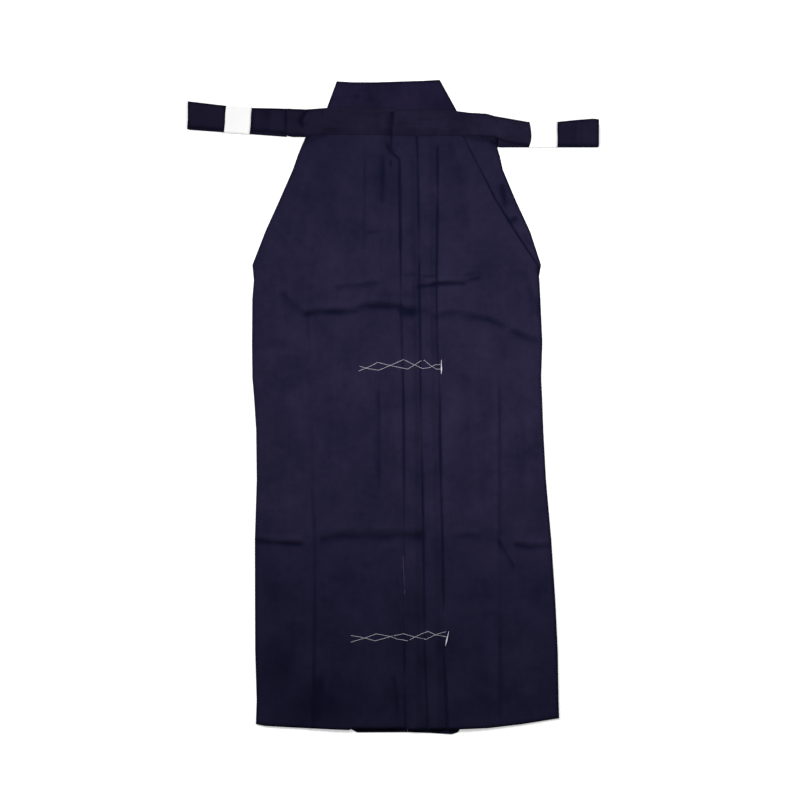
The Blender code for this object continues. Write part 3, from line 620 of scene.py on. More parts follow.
def layer_height(x, y):
    """Height of the middle of the cloth that shows at (x, y) on the fronts, before it is lifted.

    From the waist's left to its right: a plain part, a band, the flat middle, two bands and a plain part.
    Each passes smoothly between the heights of the layers at its two ends.
    """
    reach = PLEAT_DEPTH + FOLD_ROOM
    names = ("left_edge", "left_2", "left_1", "centre", "right_1", "right_2", "right_edge")
    edge_l, left_2, left_1, centre, right_1, right_2, edge_r = (line_x(name, y) for name in names)
    fold_l2, fold_l1, fold_c, fold_r1, fold_r2 = (FOLDS[name] for name in names[1:-1])

    def passing(start, end, low, high):
        return low + (high - low) * smooth((x - start) / (end - start))

    def coming_out(name, line):
        fold = FOLDS[name]
        return (fold.low - fold.beside) * (1.0 - smooth((np.abs(x - line) - FOLD_MARGIN[name]) / fold.reach))

    fall_l = left_2 - reach + (edge_l - left_2 + reach) * SIDE_FALL
    fall_r = right_2 + reach + (edge_r - right_2 - reach) * SIDE_FALL
    out_l2, out_l1, out_c, out_r1, out_r2 = (FOLD_MARGIN[name] + FOLDS[name].reach for name in names[1:-1])
    heights = (
        passing(fall_l, left_2 - reach, SIDE_LOW, fold_l2.top),
        passing(left_2 + out_l2, left_1 - reach, fold_l2.beside, fold_l1.top) + coming_out("left_2", left_2),
        passing(left_1 + out_l1, centre - out_c, fold_l1.beside, fold_c.beside)
        + coming_out("left_1", left_1),
        passing(centre + reach, right_1 - out_r1, fold_c.top, fold_r1.beside),
        passing(right_1 + reach, right_2 - out_r2, fold_r1.top, fold_r2.beside),
    )
    parts = (x < left_2, x < left_1, x < centre, x < right_1, x < right_2)
    return np.select(parts, heights, passing(right_2 + reach, fall_r, fold_r2.top, SIDE_LOW))


def fold_painted_shade(x, y):
    """Painted shade in the gap beside each fold: exp(-(d / w)^2), broader on the lower layer than on the
    upper one.
    """
    shade = np.zeros(np.shape(x))
    for name, points in FOLD_PAINTED_SHADE.items():
        level, strength = np.array(points[::-1], dtype=float).T
        onto = (x - line_x(name, y)) * (-1.0 if name.startswith("left") else 1.0)
        width = np.where(onto > 0.0, LINE_ABOVE, LINE_BELOW)
        shade = shade + np.interp(y, level, strength) * np.exp(-((onto / width) ** 2))
    return shade


def painted_falloff(x, y):
    """Painted shade at (x, y): the table of painted shade along y, blended across, and the painted shadow
    patches.
    """
    level, left, right = np.array(PAINTED_FALLOFF[::-1], dtype=float).T
    share = smooth((x - PAINTED_FALLOFF_SIDES[0]) / (PAINTED_FALLOFF_SIDES[1] - PAINTED_FALLOFF_SIDES[0]))
    shade = np.interp(y, level, left) * (1 - share) + np.interp(y, level, right) * share
    # Painted shadows in soft patches
    for middle_x, middle_y, half_width, half_height, depth in PAINTED_SHADOW_PATCHES:
        away = ((x - middle_x) / half_width) ** 2 + ((y - middle_y) / half_height) ** 2
        shade = shade + depth * np.exp(-away)
    return shade


def rim(distance, strength):
    """Painted shade as a dark rim beside an edge: k exp(-(d / w)^2)."""
    return strength * np.exp(-((distance / RIM_WIDTH) ** 2))


def edge_shade(x, y):
    """Painted shade as dark rims at the fronts' sides, and the painted shadow where the side opening lies on
    the back.
    """
    level, strength = np.array(OPENING[::-1], dtype=float).T
    beside = x - line_x("right_edge", y)
    width = np.where(beside > 0.0, OPENING_BELOW, OPENING_ABOVE)
    line = np.interp(y, level, strength) * np.exp(-((beside / width) ** 2))
    right = rim(beside, RIGHT_RIM * smooth((228 - y) / 10))
    return line + right + rim(x - line_x("left_edge", y), LEFT_RIM)


def cloth_top(x, y):
    """Height of the upper face of the fronts at (x, y)."""
    return layer_height(x, y) + lift(x, y)[0] + CLOTH / 2


def grid_mesh(name, x, y, z, u, v, shade=None, ring=False):
    """A surface through a grid of points, in metres, with its UV map in metres and its shade.

    With ring, the last column is the first one again, so that the surface closes round, and both ends are
    capped.
    """
    rows, columns = x.shape
    grid = np.arange(rows * columns).reshape(rows, columns)
    place = grid
    used = columns
    if ring:
        used = columns - 1
        place = np.arange(rows * used).reshape(rows, used)
        place = np.concatenate((place, place[:, :1]), axis=1)
    points = np.stack((x, y, z), axis=2)[:, :used].reshape(-1, 3) * MM
    quads = [
        np.stack((index[:-1, :-1], index[1:, :-1], index[1:, 1:], index[:-1, 1:]), axis=2).reshape(-1, 4)
        for index in (place, grid)
    ]
    faces = quads[0].tolist()
    if ring:
        faces.append(place[0, :-1].tolist())
        faces.append(place[-1, :0:-1].tolist())
    mesh = bpy.data.meshes.new(name)
    mesh.from_pydata(points.tolist(), [], faces)
    flat = np.stack((u, v), axis=2).reshape(-1, 2) * MM
    corners = flat[quads[1].reshape(-1)]
    if ring:
        ends = np.concatenate((grid[0, :-1], grid[-1, :0:-1]))
        corners = np.concatenate((corners, flat[ends]))
    mesh.uv_layers.new(name="UVMap").data.foreach_set("uv", corners.reshape(-1))
    values = np.zeros(x.shape) if shade is None else np.clip(shade, 0.0, 1.0)
    layer = mesh.attributes.new("shade", "FLOAT", "POINT")
    layer.data.foreach_set("value", values[:, :used].reshape(-1).astype(np.float32))
    mesh.polygons.foreach_set("use_smooth", np.ones(len(faces), dtype=bool))
    mesh.update()
    return mesh


def outward(mesh):
    """Turn the faces of a closed mesh outwards."""
    shape = bmesh.new()
    shape.from_mesh(mesh)
    bmesh.ops.remove_doubles(shape, verts=shape.verts, dist=0.002 * MM)
    bmesh.ops.recalc_face_normals(shape, faces=shape.faces)
    shape.to_mesh(mesh)
    shape.free()


def add_piece(name, mesh, finish, slot, *nodes):
    """Put a mesh into the scene as a piece that rides on the root and stands for the named solids."""
    mesh.materials.append(finish)
    piece = bpy.data.objects.new(name, mesh)
    bpy.context.scene.collection.objects.link(piece)
    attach(piece, "root")
    if nodes:
        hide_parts(*nodes)
    return piece


def add_wall(piece, thickness, offset):
    """Give an open surface its thickness."""
    wall = piece.modifiers.new("Wall", "SOLIDIFY")
    wall.thickness = thickness * MM
    wall.offset = offset
    wall.use_even_offset = True
    wall.use_quality_normals = True


# One point across a front: it lies the given share of the way from one line to another, shifted sideways
Station = namedtuple("Station", "start end share shift height")


def pleat_stations(name, side):
    """Stations of one knife pleat, from the start of its top layer to where its lowest one comes out.

    The turns are half circles between two layers. side is +1 where the layers lie to the right of the fold.
    """
    fold = FOLDS[name]
    reach = PLEAT_DEPTH + FOLD_ROOM
    front_turn = (fold.top - fold.middle) / 2
    back_turn = (fold.middle - fold.low) / 2
    places = []
    for share in np.linspace(0.0, 1.0, SHELF_STEPS):
        places.append((reach + (front_turn + fold.edge - reach) * share, fold.top))
    for angle in np.linspace(0.0, math.pi, TURN_STEPS):
        shift = front_turn * (1.0 - math.sin(angle))
        places.append((shift, fold.middle + front_turn + front_turn * math.cos(angle)))
    for share in np.linspace(0.0, 1.0, HIDDEN_STEPS + 2)[1:-1]:
        places.append((front_turn + (PLEAT_DEPTH - back_turn - front_turn) * share, fold.middle))
    for angle in np.linspace(0.0, math.pi, TURN_STEPS):
        shift = PLEAT_DEPTH - back_turn * (1.0 - math.sin(angle))
        places.append((shift, fold.low + back_turn + back_turn * math.cos(angle)))
    for share in np.linspace(0.0, 1.0, HIDDEN_STEPS + 2)[1:]:
        places.append((PLEAT_DEPTH - back_turn + (0.6 - PLEAT_DEPTH + back_turn) * share, fold.low))
    return [Station(name, name, 0.0, side * shift, height) for shift, height in places]


def beside_stations(name, side):
    """Stations where the lowest layer of a pleat comes out beside the fold and up to its height there.

    One more station close by keeps the turn at the top short.
    """
    fold = FOLDS[name]
    out = FOLD_MARGIN[name]
    stations = []
    for share in np.linspace(0.0, 1.0, BESIDE_STEPS):
        height = fold.low + (fold.beside - fold.low) * float(smooth(share))
        stations.append(Station(name, name, 0.0, -side * (out + fold.reach * share), height))
    stations.append(Station(name, name, 0.0, -side * (out + fold.reach + BESIDE_TURN), fold.beside))
    return stations


def passing_stations(start, end, shift_start, shift_end, low, high, steps):
    """Stations on the way from one line to another, passing smoothly between two heights."""
    stations = []
    for share in np.linspace(0.0, 1.0, steps):
        shift = shift_start + (shift_end - shift_start) * share
        height = low + (high - low) * float(smooth(share))
        stations.append(Station(start, end, float(share), shift, height))
    return stations


def front_stations(edge, folds, side):
    """Stations across one front, from its side edge through its pleats to the seam under the centre one."""
    stations = []
    reach = side * (PLEAT_DEPTH + FOLD_ROOM)
    top = FOLDS[folds[0]].top
    for share in np.linspace(1.0, 0.0, PLAIN_STEPS, endpoint=False):
        height = top + (SIDE_LOW - top) * float(smooth(share / SIDE_FALL))
        stations.append(Station(folds[0], edge, float(share), reach * (1 - share), height))
    near = EDGE_SHARE_IN / PLAIN_STEPS
    stations.insert(1, Station(folds[0], edge, 1 - near, reach * near, SIDE_LOW))
    for number, name in enumerate(folds):
        stations.extend(pleat_stations(name, side))
        if number + 1 < len(folds):
            follow = folds[number + 1]
            stations.extend(beside_stations(name, side))
            out = -side * (FOLD_MARGIN[name] + FOLDS[name].reach)
            heights = (FOLDS[name].beside, FOLDS[follow].top)
            stations.extend(passing_stations(name, follow, out, reach, *heights, BAND_STEPS)[1:-1])
    seam = PLEAT_DEPTH / 2
    low = FOLDS["centre"].low
    inner = folds[-1]
    if side > 0:
        stations = stations[: -(HIDDEN_STEPS + 1)]
        stations.append(Station("centre", "centre", 0.0, seam + SEAM_GAP / 2, low))
        return stations
    stations.extend(beside_stations(inner, side))
    out = FOLD_MARGIN[inner] + FOLDS[inner].reach
    into = -FOLD_ROOM - FOLDS["centre"].reach
    stations.extend(passing_stations(inner, "centre", out, into, FOLDS[inner].beside, low, MIDDLE_STEPS)[1:])
    for shift in (into / 2, -FOLD_ROOM, FOLD_ROOM, seam - SEAM_GAP / 2):
        stations.append(Station("centre", "centre", 0.0, shift, low))
    return stations


def guided_rows(x):
    """The y of every row at the places x: rows lie evenly between each two guides."""
    heights = []
    for guide in GUIDES:
        level = guide.y if guide.follows is None else 0.0
        follow = 0.0 if guide.follows is None else path_y(guide.follows, x) + guide.offset
        heights.append(np.zeros(x.shape) + level + follow)
    rows = [heights[0][:1]]
    at = 1
    for number, guide in enumerate(GUIDES[1:], start=1):
        part = slice(at, at + guide.rows)
        share = (np.arange(guide.rows) + 1.0)[:, None] / guide.rows
        rows.append(heights[number - 1][part] * (1 - share) + heights[number][part] * share)
        at += guide.rows
    return np.concatenate(rows, axis=0)


def make_front(name, node, side, hem, finish):
    """One front: a thin pleated shell through its stations and the guided rows, lifted as its solid is."""
    folds = ("right_2", "right_1", "centre") if side > 0 else ("left_2", "left_1")
    stations = front_stations("right_edge" if side > 0 else "left_edge", folds, side)
    share = np.array([s.share for s in stations])
    shift = np.array([s.shift for s in stations])
    count = sum(guide.rows for guide in GUIDES)
    y = np.linspace(440.0, HEM_LEVEL, count)[:, None] + np.zeros((count, len(stations)))
    for _ in range(3):
        x = np.empty_like(y)
        for column, station in enumerate(stations):
            start = line_x(station.start, y[:, column])
            end = line_x(station.end, y[:, column])
            x[:, column] = start + (end - start) * share[column] + shift[column]
        y = guided_rows(x)
        reach = np.clip((HEM_LEVEL + HEM_REACH - y) / HEM_REACH, 0.0, 1.0)
        y = y + reach * (path_y(hem, x) - HEM_LEVEL)
    raised, creased = lift(x, y)
    z = np.array([s.height for s in stations]) + raised
    # Painted shade of the creases, the folds' gaps, the edge rims and the hem's rim, and the painted
    # fall-off and shadow patches
    shade = creased + fold_painted_shade(x, y) + painted_falloff(x, y) + edge_shade(x, y) + rim(y - path_y(hem, x), HEM_RIM)
    u = np.concatenate((np.zeros((count, 1)), np.cumsum(np.hypot(np.diff(x), np.diff(z)), axis=1)), axis=1)
    grids = [x, y, z, u, y, shade]
    if side > 0:
        grids = [grid[:, ::-1] for grid in grids]
    piece = add_piece(name, grid_mesh(name, *grids), finish, "front_cloth", node)
    add_wall(piece, CLOTH, 0.0)
    return piece


def make_back(name, node, side, finish):
    """One back: a thin shell on the surface from the centre seam to its side, wrinkled where it shows."""
    down = np.linspace(0.0, 1.0, BACK_STEPS_DOWN)[:, None]
    share = np.linspace(0.0, 1.0, BACK_STEPS_ACROSS)[None, :]
    y = BACK_WAIST + (HEM_LEVEL - BACK_WAIST) * down + np.zeros_like(share)
    middle = (line_x("left_edge", y) + line_x("right_edge", y)) / 2 + side * BACK_SEAM_GAP / 2
    edge = line_x("back_right" if side > 0 else "back_left", y)
    x = middle + (edge - middle) * (share if side > 0 else 1.0 - share)
    reach = np.clip((HEM_LEVEL + HEM_REACH - y) / HEM_REACH, 0.0, 1.0)
    y = y + reach * (path_y(BACK_HEM, x) - HEM_LEVEL)
    relief, shade = crease_relief(BACK_CREASES, x, y)
    outside = smooth((x - line_x("right_edge", y) + OPEN_START) / OPEN_FADE)
    beside = np.clip(outside, 0.0, 1.0) * smooth((OPEN_TOP - y) / OPEN_TOP_FADE)
    rise = relief + OPEN_RISE + unevenness(UNEVEN_BACK, x, y)
    z = BACK_CLOTH / 2 + beside * np.maximum(rise, 0.0)
    # Painted shade of the back's creases, the painted fall-off and shadow patches, the edge rims and the
    # opening's painted shadow
    shade = shade * beside + painted_falloff(x, y) + edge_shade(x, y)
    shade = shade + rim(x - edge, OPEN_RIM) + rim(y - path_y(BACK_HEM, x), BACK_HEM_RIM)
    piece = add_piece(name, grid_mesh(name, x, y, z, x, y, shade), finish, "back_cloth", node)
    add_wall(piece, BACK_CLOTH, 0.0)
    return piece


def make_board(finish):
    """The cloth-covered back board: a flat cushion form between its two sides and its dipping upper edge.

    Its faces come together in a quarter-round at the rim: the half thickness is T/2 sqrt(1 - (1 - d/r)^2) at
    the distance d from the rim, up to r.
    """
    across, up = BOARD_STEPS
    s = 0.5 - 0.5 * np.cos(np.linspace(0.0, math.pi, across))[None, :]
    t = 0.5 - 0.5 * np.cos(np.linspace(0.0, math.pi, up))[::-1, None]
    level = BOARD_FOOT + (BOARD_HEAD - BOARD_FOOT) * t
    left = np.interp(level, [p[1] for p in BOARD_LEFT], [p[0] for p in BOARD_LEFT])
    right = np.interp(level, [p[1] for p in BOARD_RIGHT], [p[0] for p in BOARD_RIGHT])
    x = left + (right - left) * s
    top = path_y(BOARD_TOP, x)
    y = BOARD_FOOT + (top - BOARD_FOOT) * t
    inward = np.minimum(np.minimum(s, 1 - s) * (right - left), np.minimum(t, 1 - t) * (top - BOARD_FOOT))
    swell = np.sqrt(np.clip(1.0 - (1.0 - np.clip(inward / BOARD_ROUND, 0.0, 1.0)) ** 2, 0.0, 1.0))
    relief, shade = crease_relief(BOARD_CREASES, x, y)
    # Painted shade as a dark rim round the board
    shade = shade + rim(inward, BOARD_RIM)
    dents = relief + unevenness(UNEVEN_BOARD, x, y) - BOARD_DENT_LEVEL
    dents = dents * smooth(inward / BOARD_DENT_MARGIN)
    upper = BOARD_THICK / 2 * (1 + swell) + np.minimum(dents, BOARD_DENT_MOST)
    lower = BOARD_THICK / 2 * (1 - swell)
    grids = [
        np.concatenate(pair, axis=1)
        for pair in (
            (x, x[:, ::-1]), (y, y[:, ::-1]), (upper, lower[:, ::-1]),
            (x, x[:, ::-1] + BOARD_UNDER_MAP), (y, y[:, ::-1]), (shade, np.zeros_like(shade)),
        )
    ]
    grids = [np.concatenate((grid, grid[:, :1]), axis=1) for grid in grids]
    mesh = grid_mesh("board_cover", *grids, ring=True)
    outward(mesh)
    piece = add_piece("board_cover", mesh, finish, "board_cloth", "koshiita")
    return piece


def strip_ring(steps, thickness):
    """Points round the section of a flat folded strip with round edges.

    Gives the share across from the lower to the upper edge, the sideways shift from there, and the height.
    """
    half = thickness / 2
    share = np.linspace(0.0, 1.0, steps)
    angle = np.linspace(math.pi / 2, -math.pi / 2, 5)[1:-1]
    ends = np.ones_like(angle)
    across = np.concatenate((share, ends, share[::-1], 0 * ends, share[:1]))
    inset = half * (1 - 2 * across)
    round_out = np.concatenate((0 * share, half * np.cos(angle), 0 * share, -half * np.cos(angle), [0.0]))
    turn = half * np.sin(angle)
    height = np.concatenate((0 * share + half, turn, 0 * share - half, -turn, [half]))
    return across, inset + round_out, height


def make_strip(name, table, thickness, crown, creases, uneven, droops, finish, slot, node):
    """A flat strip of folded cloth carried along its table, crowned across by c (1 - (2s - 1)^4).

    Where it crosses the fronts its lower edge comes down onto their pleats.
    """
    across, shift, thick = strip_ring(STRIP_STEPS, thickness)
    height = thick
    count = int((table[-1, 0] - table[0, 0]) / BAND_STEP) + 1
    x = np.linspace(table[0, 0], table[-1, 0], count)[:, None] + np.zeros_like(across)
    upper = np.interp(x, table[:, 0], table[:, 1])
    lower = np.interp(x, table[:, 0], table[:, 2])
    middle = np.interp(x, table[:, 0], table[:, 3])
    y = lower + (upper - lower) * across + shift
    middle = middle + crown * (1.0 - (2.0 * across - 1.0) ** 4)
    relief, shade = crease_relief(creases, x, y)
    shade = shade + np.interp(x, STRAP_TONE[:, 0], STRAP_TONE[:, 1])
    # Painted shade as dark rims along the strip's upper and lower edges
    shade = shade + rim(upper - y, np.interp(x, STRIP_RIM[:, 0], STRIP_RIM[:, 1]))
    shade = shade + rim(y - lower, np.interp(x, STRIP_RIM[:, 0], STRIP_RIM[:, 2]))
    # Painted shadow beside the papers, and painted shade at the strip's ends
    for place, strength in PAPER_SHADOW_LINES + ((table[0, 0], STRIP_END_RIM), (table[-1, 0], STRIP_END_RIM)):
        shade = shade + rim(x - place, strength)
    middle = middle + relief + unevenness(uneven, x, y)
    if droops:
        rest = cloth_top(x, lower + DROOP_INSET) + thickness / 2 * (1 - EDGE_PRESSED) + DROOP_CLEAR
        inside = smooth((x - DROOP_REACH[0]) / DROOP_FADE) * smooth((DROOP_REACH[1] - x) / DROOP_FADE)
        share = inside * (1.0 - smooth(across / DROOP_SHARE))
        middle = middle * (1 - share) + rest * share
        height = height * (1.0 - EDGE_PRESSED * inside * (1.0 - smooth(across / EDGE_SHARE)))
    z = middle + height
    v = np.hypot(np.diff(shift + across * STRAP_FINISHED), np.diff(thick))
    v = np.concatenate(([0.0], np.cumsum(v)))
    mesh = grid_mesh(name, x, y, z, v + np.zeros_like(x), x, shade, ring=True)
    outward(mesh)
    return add_piece(name, mesh, finish, slot, node)


def bundle_frame(bundle):
    """Middle, length and direction of a bundle."""
    along = np.array((bundle.x_in - bundle.x_out, bundle.y_in - bundle.y_out))
    length = float(np.hypot(*along))
    middle = np.array((bundle.x_in + bundle.x_out, bundle.y_in + bundle.y_out)) / 2
    return middle, length, along / length


def fold_path(bundle, length):
    """Middle line of straps folded to and fro: straight layers joined by half-circle turns at the ends.

    Gives the place along the bundle, the height, the direction there as an angle, and the sideways slip.
    """
    radius = BUNDLE_LAYER / 2
    parts = []
    for layer in range(BUNDLE_LAYERS):
        way = 1.0 if layer % 2 == 0 else -1.0
        height = BUNDLE_BOTTOM + (layer + 0.5) * BUNDLE_LAYER
        far = length / 2 - radius - BUNDLE_CLOTH / 2 - BUNDLE_CLEAR - bundle.set_backs[layer]
        near = length / 2 - radius - BUNDLE_CLOTH / 2 - BUNDLE_CLEAR - bundle.set_backs[layer - 1]
        start = -way * (near if layer else length / 2 - BUNDLE_CLEAR)
        end = way * (far if layer + 1 < BUNDLE_LAYERS else length / 2 - BUNDLE_CLEAR)
        run = np.linspace(start, end, BUNDLE_STEPS)
        turned = 0.0 if way > 0 else math.pi
        slip = np.full(run.shape, bundle.slips[layer])
        parts.append(np.stack((run, run * 0 + height, run * 0 + turned, slip)))
        if layer + 1 < BUNDLE_LAYERS:
            angle = np.linspace(0.0, math.pi, 8)[1:-1]
            slip = bundle.slips[layer] + (bundle.slips[layer + 1] - bundle.slips[layer]) * angle / math.pi
            turn = end + way * radius * np.sin(angle)
            rise = height + radius * (1 - np.cos(angle))
            facing = angle if way > 0 else math.pi - angle
            parts.append(np.stack((turn, rise, facing, slip)))
    return np.concatenate(parts, axis=1)


def make_bundle(name, node, bundle, finish):
    """Straps folded to and fro: a flat strip carried along the folding path."""
    middle, length, along = bundle_frame(bundle)
    run, rise, facing, slip = (row[:, None] for row in fold_path(bundle, length))
    across, shift, thick = strip_ring(14, BUNDLE_CLOTH)
    width = bundle.width - 2 * BUNDLE_INSET
    sideways = (across - 0.5) * width + shift + slip
    forward = run - np.sin(facing) * thick
    z = rise + np.cos(facing) * thick
    x = middle[0] + along[0] * forward - along[1] * sideways
    y = middle[1] + along[1] * forward + along[0] * sideways
    step = np.hypot(np.diff(run[:, 0]), np.diff(rise[:, 0]))
    v = np.concatenate(([0.0], np.cumsum(step)))[:, None] + np.zeros_like(x)
    u = (across * width + thick)[None, :] + np.zeros_like(x)
    # Painted shade: the bundle is darker all over, more at the turns and most along its long sides, where
    # the sides of the stack lie in shade
    shade = 0.35 + 0.25 * np.abs(np.sin(facing)) + 0.4 * smooth((np.abs(2 * across - 1) - 0.7) / 0.2)
    mesh = grid_mesh(name, x, y, z, u, v, shade, ring=True)
    outward(mesh)
    piece = add_piece(name, mesh, finish, "strap_cloth", node)
    flat = (round(width * MM, 3), round(float(v.max()) * MM, 3))
    return piece


def rounded_rectangle(length, width, corner, steps):
    """Points of a closed rectangle with round corners about the origin."""
    points = []
    for turn, (sign_x, sign_y) in enumerate(((1, 1), (-1, 1), (-1, -1), (1, -1))):
        for step in range(steps + 1):
            angle = math.radians(90 * turn + 90 * step / steps)
            side = sign_x * (length / 2 - corner) + corner * math.cos(angle)
            points.append((side, sign_y * (width / 2 - corner) + corner * math.sin(angle)))
    return points + points[:1]


def resample(points, step):
    """Points at even steps along a broken line that keep its corners within half a step."""
    places = np.asarray(points, dtype=float)
    travelled = np.concatenate(([0.0], np.cumsum(np.linalg.norm(np.diff(places, axis=0), axis=1))))
    count = max(int(travelled[-1] / step), 2) + 1
    at = np.linspace(0.0, travelled[-1], count)
    return np.stack([np.interp(at, travelled, places[:, axis]) for axis in range(places.shape[1])], axis=1)


def make_paper(name, node, bundle, shares, curve, finish):
    """A paper band round a bundle and the strap on it: a rounded rectangle carried along the bundle."""
    middle, length, along = bundle_frame(bundle)
    height = PAPER_TOP - PAPER_BOTTOM
    outline = rounded_rectangle(bundle.width + 2 * PAPER_CLEAR, height, PAPER_CORNER, 4)
    section = resample(outline, 1.2)
    sideways = section[:, 0][None, :]
    upwards = section[:, 1][None, :]
    s = np.linspace(0.0, 1.0, PAPER_STEPS)[:, None]
    run = length * (shares[0] + (shares[1] - shares[0]) * s - 0.5)
    bow = curve * s * (sideways / (bundle.width / 2 + PAPER_CLEAR)) ** 2
    wave = 0.25 * np.sin(sideways / 5.0 + 3.0 * s) * (2 * s - 1)
    run = run + bow + wave
    sag = 0.12 * np.sin(math.pi * s) * (upwards > height / 2 - 0.2)
    x = middle[0] + along[0] * run - along[1] * sideways
    y = middle[1] + along[1] * run + along[0] * sideways
    z = upwards + (PAPER_TOP + PAPER_BOTTOM) / 2 - sag
    around = np.concatenate(([0.0], np.cumsum(np.linalg.norm(np.diff(section, axis=0), axis=1))))
    mesh = grid_mesh(name, x, y, z, around + np.zeros_like(x), run + np.zeros_like(x))
    outward(mesh)
    piece = add_piece(name, mesh, finish, "paper", node)
    add_wall(piece, PAPER_THICK, 0.0)
    return piece


def thread_path(points, raised):
    """A thread over the fronts: straight between its points, on the highest cloth near each place.

    It sinks by the stitch's depth times exp(-d^2) at each stitch, d being the distance in stitch reaches.
    """
    path = resample(points, THREAD_STEP)
    heights = cloth_top(path[:, 0], path[:, 1])
    padded = np.pad(heights, 1, mode="edge")
    heights = np.maximum(np.maximum(padded[:-2], padded[2:]), heights)
    padded = np.pad(heights, 1, mode="edge")
    heights = (padded[:-2] + padded[2:] + 2 * heights) / 4
    for x, y in STITCHES:
        away = np.hypot(path[:, 0] - x, path[:, 1] - y) / STITCH_REACH
        heights = heights - STITCH_DEPTH * np.exp(-(away**2))
    return np.column_stack((path, heights + raised))


def tube_mesh(name, path, radii, sides):
    """A round thread: circles of the given radii carried along a path, square to it."""
    ahead = np.gradient(path, axis=0)
    ahead = ahead / np.linalg.norm(ahead, axis=1)[:, None]
    beside = np.cross(ahead, (0.0, 0.0, 1.0))
    beside = beside / np.linalg.norm(beside, axis=1)[:, None]
    above = np.cross(beside, ahead)
    angle = np.linspace(0.0, 2 * math.pi, sides + 1)
    radius = np.broadcast_to(np.asarray(radii, dtype=float), (len(path),))[:, None, None]
    across = np.cos(angle)[None, :, None] * beside[:, None, :]
    ring = across + np.sin(angle)[None, :, None] * above[:, None, :]
    points = path[:, None, :] + radius * ring
    travelled = np.concatenate(([0.0], np.cumsum(np.linalg.norm(np.diff(path, axis=0), axis=1))))
    v = travelled[:, None] + np.zeros_like(angle)
    u = angle + np.zeros_like(v)
    mesh = grid_mesh(name, points[:, :, 0], points[:, :, 1], points[:, :, 2], u, v, ring=True)
    outward(mesh)
    return mesh


def make_thread(name, points, radius, raised, finish, radii=None):
    """One thread on the fronts."""
    path = thread_path(points, raised)
    if radii is not None:
        at = np.linspace(0.0, 1.0, len(path))
        radius = np.interp(at, np.linspace(0.0, 1.0, len(radii)), radii)
    return add_piece(name, tube_mesh(name, path, radius, 8), finish, "thread")


class Socket:
    """One output of a shader node, so that maths on it can be written as Python expressions."""

    def __init__(self, tree, output):
        self.tree = tree
        self.output = output

    def math(self, operation, first, second=0.0):
        """A Math node on one or two values."""
        node = self.tree.nodes.new("ShaderNodeMath")
        node.operation = operation
        join(self.tree, node.inputs[0], first)
        join(self.tree, node.inputs[1], second)
        return Socket(self.tree, node.outputs[0])

    def __add__(self, other):
        return self.math("ADD", self, other)

    def __radd__(self, other):
        return self.math("ADD", other, self)

    def __sub__(self, other):
        return self.math("SUBTRACT", self, other)

    def __rsub__(self, other):
        return self.math("SUBTRACT", other, self)

    def __mul__(self, other):
        return self.math("MULTIPLY", self, other)

    def __rmul__(self, other):
        return self.math("MULTIPLY", other, self)

    def sine(self):
        """The sine of the value."""
        return self.math("SINE", self)


def join(tree, slot, value):
    """Link a Socket to an input, or set the input to a plain value."""
    if isinstance(value, Socket):
        tree.links.new(value.output, slot)
    else:
        slot.default_value = value


class Finish:
    """A material with one Principled shader, and a method that adds any other node."""

    def __init__(self, name):
        self.material = bpy.data.materials.new(name)
        self.material.use_nodes = True
        self.tree = self.material.node_tree
        self.shader = self.tree.nodes["Principled BSDF"]

    def node(self, kind, settings, inputs, output=0):
        """Add a node: its settings first, then the values or links of its sockets."""
        node = self.tree.nodes.new(kind)
        for key, value in settings.items():
            setattr(node, key, value)
        for key, value in inputs.items():
            join(self.tree, node.inputs[key], value)
        return Socket(self.tree, node.outputs[output])

    def noise(self, place, scale, detail):
        """Noise around zero, with a scale in cells for each metre."""
        inputs = {"Vector": place, "Scale": scale, "Detail": detail}
        return self.node("ShaderNodeTexNoise", {}, inputs) - 0.5

    def stretched(self, place, scale):
        """The place, scaled along each axis."""
        return self.node("ShaderNodeMapping", {}, {"Vector": place, "Scale": scale})

    def tinted(self, colour, tone, kept=(0.0, 0.0, 0.0)):
        """A colour made lighter or darker by a tone of about 1. The kept part of it doesn't change."""
        changed = tuple(whole - part for whole, part in zip(colour, kept))
        scaled = self.node("ShaderNodeVectorMath", {"operation": "SCALE"}, {0: changed, "Scale": tone})
        return self.node("ShaderNodeVectorMath", {"operation": "ADD"}, {0: scaled, 1: kept})

    def set(self, **values):
        """Set or link inputs of the shader. An underscore in a name stands for a space."""
        for key, value in values.items():
            join(self.tree, self.shader.inputs[key.replace("_", " ")], value)

    def bump(self, height, strength, distance):
        """Feed a height to the shader's normal."""
        inputs = {"Strength": strength, "Distance": distance, "Height": height}
        self.set(Normal=self.node("ShaderNodeBump", {}, inputs))


